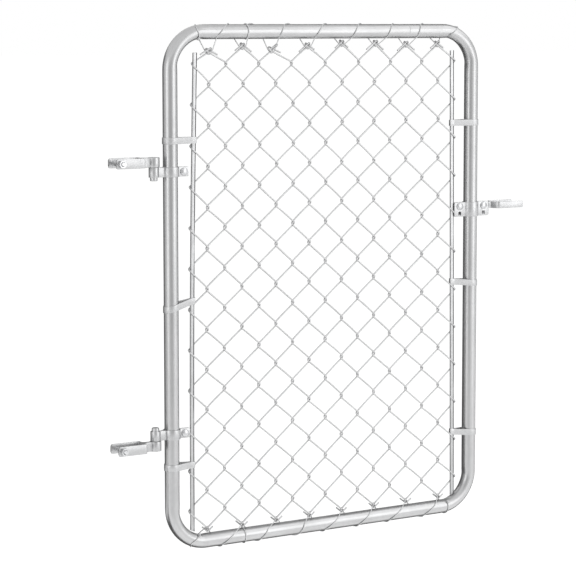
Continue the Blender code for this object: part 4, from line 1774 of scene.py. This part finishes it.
@dataclass
class Studio:
    """The pale floor, the lamps, the panels that shape the reflections, and the camera.

    Bearings are in degrees to the right of the camera's line, and a level of 1 is white. The
    camera's place is from the left stile's middle and the top rail's.
    """

    layout: Layout
    middle: Vector = field(default_factory=lambda: Vector((0.46, 0.0, 0.33)))
    panel_reach: float = 2.2
    panel_steps: int = 16
    floor_z: float = -0.32
    floor_reach: float = 70
    board_rise: float = 0.004
    glow: float = 0.4
    grey_light: float = 0.7
    bearing: float = 0.541577
    pitch: float = 0.093008
    roll: float = 0.000648
    focal_pixels: float = 2087.991
    photo_pixels: int = 576
    sensor: float = 36.0
    shift: float = -0.12
    camera_place: tuple[float, float, float] = (-2.056665, -3.901061, 0.015856)
    flats: tuple[Flat, ...] = (
        Flat("flat_back_left", -178, -96, -28, 30, 0.16),
        Flat("flat_left", -96, -66, -28, 30, 0.8),
        Flat("flat_front", -20, 24, -28, 24, 0.6),
        Flat("flat_back_right", 134, 178, -28, 24, 0.25),
        Flat("flat_back_high", 146, 184, 29, 50, 0.1),
    )
    boards: tuple[Board, ...] = (
        Board("floor_board_far", (-2.2, 3.2), (0.65, 2.4), 0.1),
        # Painted shadow: a dark strip under the gate that stands in for its shadow on the floor, seen in
        # reflections.
        Board("painted_floor_shadow", (-2.2, 3.2), (0.0, 0.16), 0.1),
        Board("floor_board_side", (-0.12, 0.72), (0.16, 0.65), 0.06),
        # Painted light: a strip glowing brighter than white in front of the gate, a pool of light seen in
        # reflections.
        Board("painted_floor_light", (-2.2, 3.2), (-0.26, -0.02), 1.35),
    )
    lamps: tuple[Lamp, ...] = (
        Lamp("left_softbox", -44, 6, 4.2, (1.6, 2.4), 0.85),
        Lamp("right_softbox", 64, 12, 4.2, (2.6, 3.0), 0.95),
        Lamp("top_softbox", 96, 44, 4.0, (3.2, 2.2), 0.6),
    )

    def out(self, turn: float, rise: float = 0.0) -> Vector:
        """Return the direction from the gate at a bearing and an elevation in degrees."""
        angle, tilt = self.bearing - math.radians(turn), math.radians(rise)
        return Vector((-math.sin(angle) * math.cos(tilt), -math.cos(angle) * math.cos(tilt), math.sin(tilt)))

    def _panel(self, name: str, bm: BMesh, level: float) -> None:
        """Build a glowing panel that only reflections see.

        Args:
            name: Its name.
            bm: Its mesh.
            level: How bright it is.
        """
        material = bpy.data.materials.new(name + "_glow")
        material.use_nodes = True
        material.node_tree.nodes.clear()
        desk = Desk(material.node_tree)
        glow = desk.add("ShaderNodeEmission", {"Strength": level})
        desk.add("ShaderNodeOutputMaterial", {"Surface": glow.outputs[0]})
        panel = dressed(name, bm, material)
        panel.visible_camera = False
        panel.visible_diffuse = False
        panel.visible_shadow = False
        LOG.info("studio panel %s", name)

    def build_panels(self) -> None:
        """Build the curved panels round the gate and the boards on the floor."""
        for flat in self.flats:
            bm = bmesh.new()
            rises = [math.tan(math.radians(level)) * self.panel_reach for level in (flat.low, flat.high)]
            rings = []
            for step in range(self.panel_steps + 1):
                out = self.out(flat.start + (flat.end - flat.start) * step / self.panel_steps)
                foot = self.middle + out * self.panel_reach
                rings.append([bm.verts.new(foot + Vector((0, 0, rise))) for rise in rises])
            for (a, b), (c, d) in zip(rings, rings[1:]):
                bm.faces.new((a, b, d, c))
            self._panel(flat.name, bm, flat.level)
        for board in self.boards:
            bm = bmesh.new()
            (left, right), (near, far) = board.x, board.y
            corners = ((left, near), (right, near), (right, far), (left, far))
            bm.faces.new([bm.verts.new((x, y, self.floor_z + self.board_rise)) for x, y in corners])
            self._panel(board.name, bm, board.level)

    def build_floor(self) -> None:
        """Build the pale floor, which keeps a soft shadow."""
        bm = bmesh.new()
        bmesh.ops.create_grid(bm, x_segments=8, y_segments=8, size=self.floor_reach)
        for spot in bm.verts:
            spot.co += Vector((self.middle.x, self.middle.y, self.floor_z))
        material = bpy.data.materials.new("pale_floor")
        material.use_nodes = True
        desk = Desk(material.node_tree)
        tint = desk.cloud(desk.add("ShaderNodeTexCoord").outputs["Object"], 2.0, 2.0)
        looks = {
            "Base Color": desk.blend(tint, (0.9, 0.9, 0.9), (0.92, 0.92, 0.92)),
            "Roughness": 0.95,
            "Specular IOR Level": 0.0,
            "Emission Color": (1.0, 1.0, 1.0, 1.0),
            "Emission Strength": desk.sum("MULTIPLY", self._seen(desk), self.glow),
        }
        desk.feed(desk.tree.nodes["Principled BSDF"], looks)
        dressed("floor", bm, material)
        LOG.info("floor")

    @staticmethod
    def _seen(desk: Desk) -> NodeSocket:
        """Return 1 where the camera, a reflection or a clear piece sees the surface.

        Args:
            desk: The desk for the material's or the world's tree.

        Returns:
            The value.
        """
        rays = desk.add("ShaderNodeLightPath").outputs
        seen = desk.sum("MAXIMUM", rays["Is Camera Ray"], rays["Is Glossy Ray"])
        return desk.sum("MAXIMUM", seen, rays["Is Transmission Ray"])

    def build_world(self) -> None:
        """Make the world white behind the gate and a plain grey as light."""
        world = bpy.data.worlds.new("studio_white")
        bpy.context.scene.world = world
        world.use_nodes = True
        desk = Desk(world.node_tree)
        strength = desk.span(self._seen(desk), (0.0, 1.0), (self.grey_light, 1.0))
        desk.feed(desk.tree.nodes["Background"], {"Color": (1.0, 1.0, 1.0, 1.0), "Strength": strength})

    def build_lamp(self, lamp: Lamp) -> None:
        """Build a soft lamp that faces the gate.

        Args:
            lamp: Its place, size and level.
        """
        data = bpy.data.lights.new(lamp.name, "AREA")
        data.shape = "RECTANGLE"
        data.size, data.size_y = lamp.size
        data.energy = 4 * lamp.size[0] * lamp.size[1] * lamp.level
        softbox = bpy.data.objects.new(lamp.name, data)
        out = self.out(lamp.turn, lamp.rise)
        softbox.location = self.middle + out * lamp.away
        softbox.rotation_mode = "QUATERNION"
        softbox.rotation_quaternion = (-out).to_track_quat("-Z", "Y")
        softbox.visible_camera = False
        bpy.context.scene.collection.objects.link(softbox)
        LOG.info("lamp %s", lamp.name)

    def build_camera(self) -> None:
        """Build the camera at the photograph's place and angle."""
        turn, pitch, roll = self.bearing, self.pitch, self.roll
        x, y, z = self.camera_place
        place = Vector((x + self.layout.left_x, y, z + self.layout.top_z))
        ahead = Vector((math.sin(turn) * math.cos(pitch), math.cos(turn) * math.cos(pitch), -math.sin(pitch)))
        right = Vector((math.cos(turn), -math.sin(turn), 0))
        down = ahead.cross(right)
        level_right = right * math.cos(roll) + down * math.sin(roll)
        level_down = down * math.cos(roll) - right * math.sin(roll)
        data = bpy.data.cameras.new("photo_camera")
        data.sensor_width = self.sensor
        data.lens = self.sensor * self.focal_pixels / self.photo_pixels
        data.shift_y = self.shift
        camera = bpy.data.objects.new("photo_camera", data)
        turned = Matrix((level_right, -level_down, -ahead)).transposed().to_4x4()
        camera.matrix_world = Matrix.Translation(place) @ turned
        bpy.context.scene.collection.objects.link(camera)
        bpy.context.scene.camera = camera

    def build(self) -> None:
        """Build the whole studio."""
        self.build_world()
        self.build_floor()
        self.build_panels()
        for lamp in self.lamps:
            self.build_lamp(lamp)
        self.build_camera()
        bpy.context.scene.view_settings.view_transform = "Standard"


def main() -> None:
    """Build the gate's looks and its studio."""
    logging.basicConfig(level=logging.INFO, format="%(name)s: %(message)s")
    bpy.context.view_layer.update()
    layout = Layout()
    effects = Effects()
    finishes = {slot: finish.build(effects) for slot, finish in FINISHES.items()}
    bars = TensionBars(layout, finishes)
    mesh = WovenMesh(layout, finishes, bars=bars)
    parts = (
        FrameTube(layout, finishes),
        bars,
        mesh,
        TensionBands(layout, finishes, bars=bars),
        Lacing(layout, finishes, mesh=mesh),
        Hinge(layout, finishes, prefix="lower", z=0.0, pin_way=1),
        Hinge(layout, finishes, prefix="upper", z=layout.upper_hinge_z, pin_way=-1),
        Latch(layout, finishes),
    )
    for part in parts:
        part.build()
    Studio(layout).build()
    bpy.context.view_layer.update()


if __name__ == "__main__":
    main()
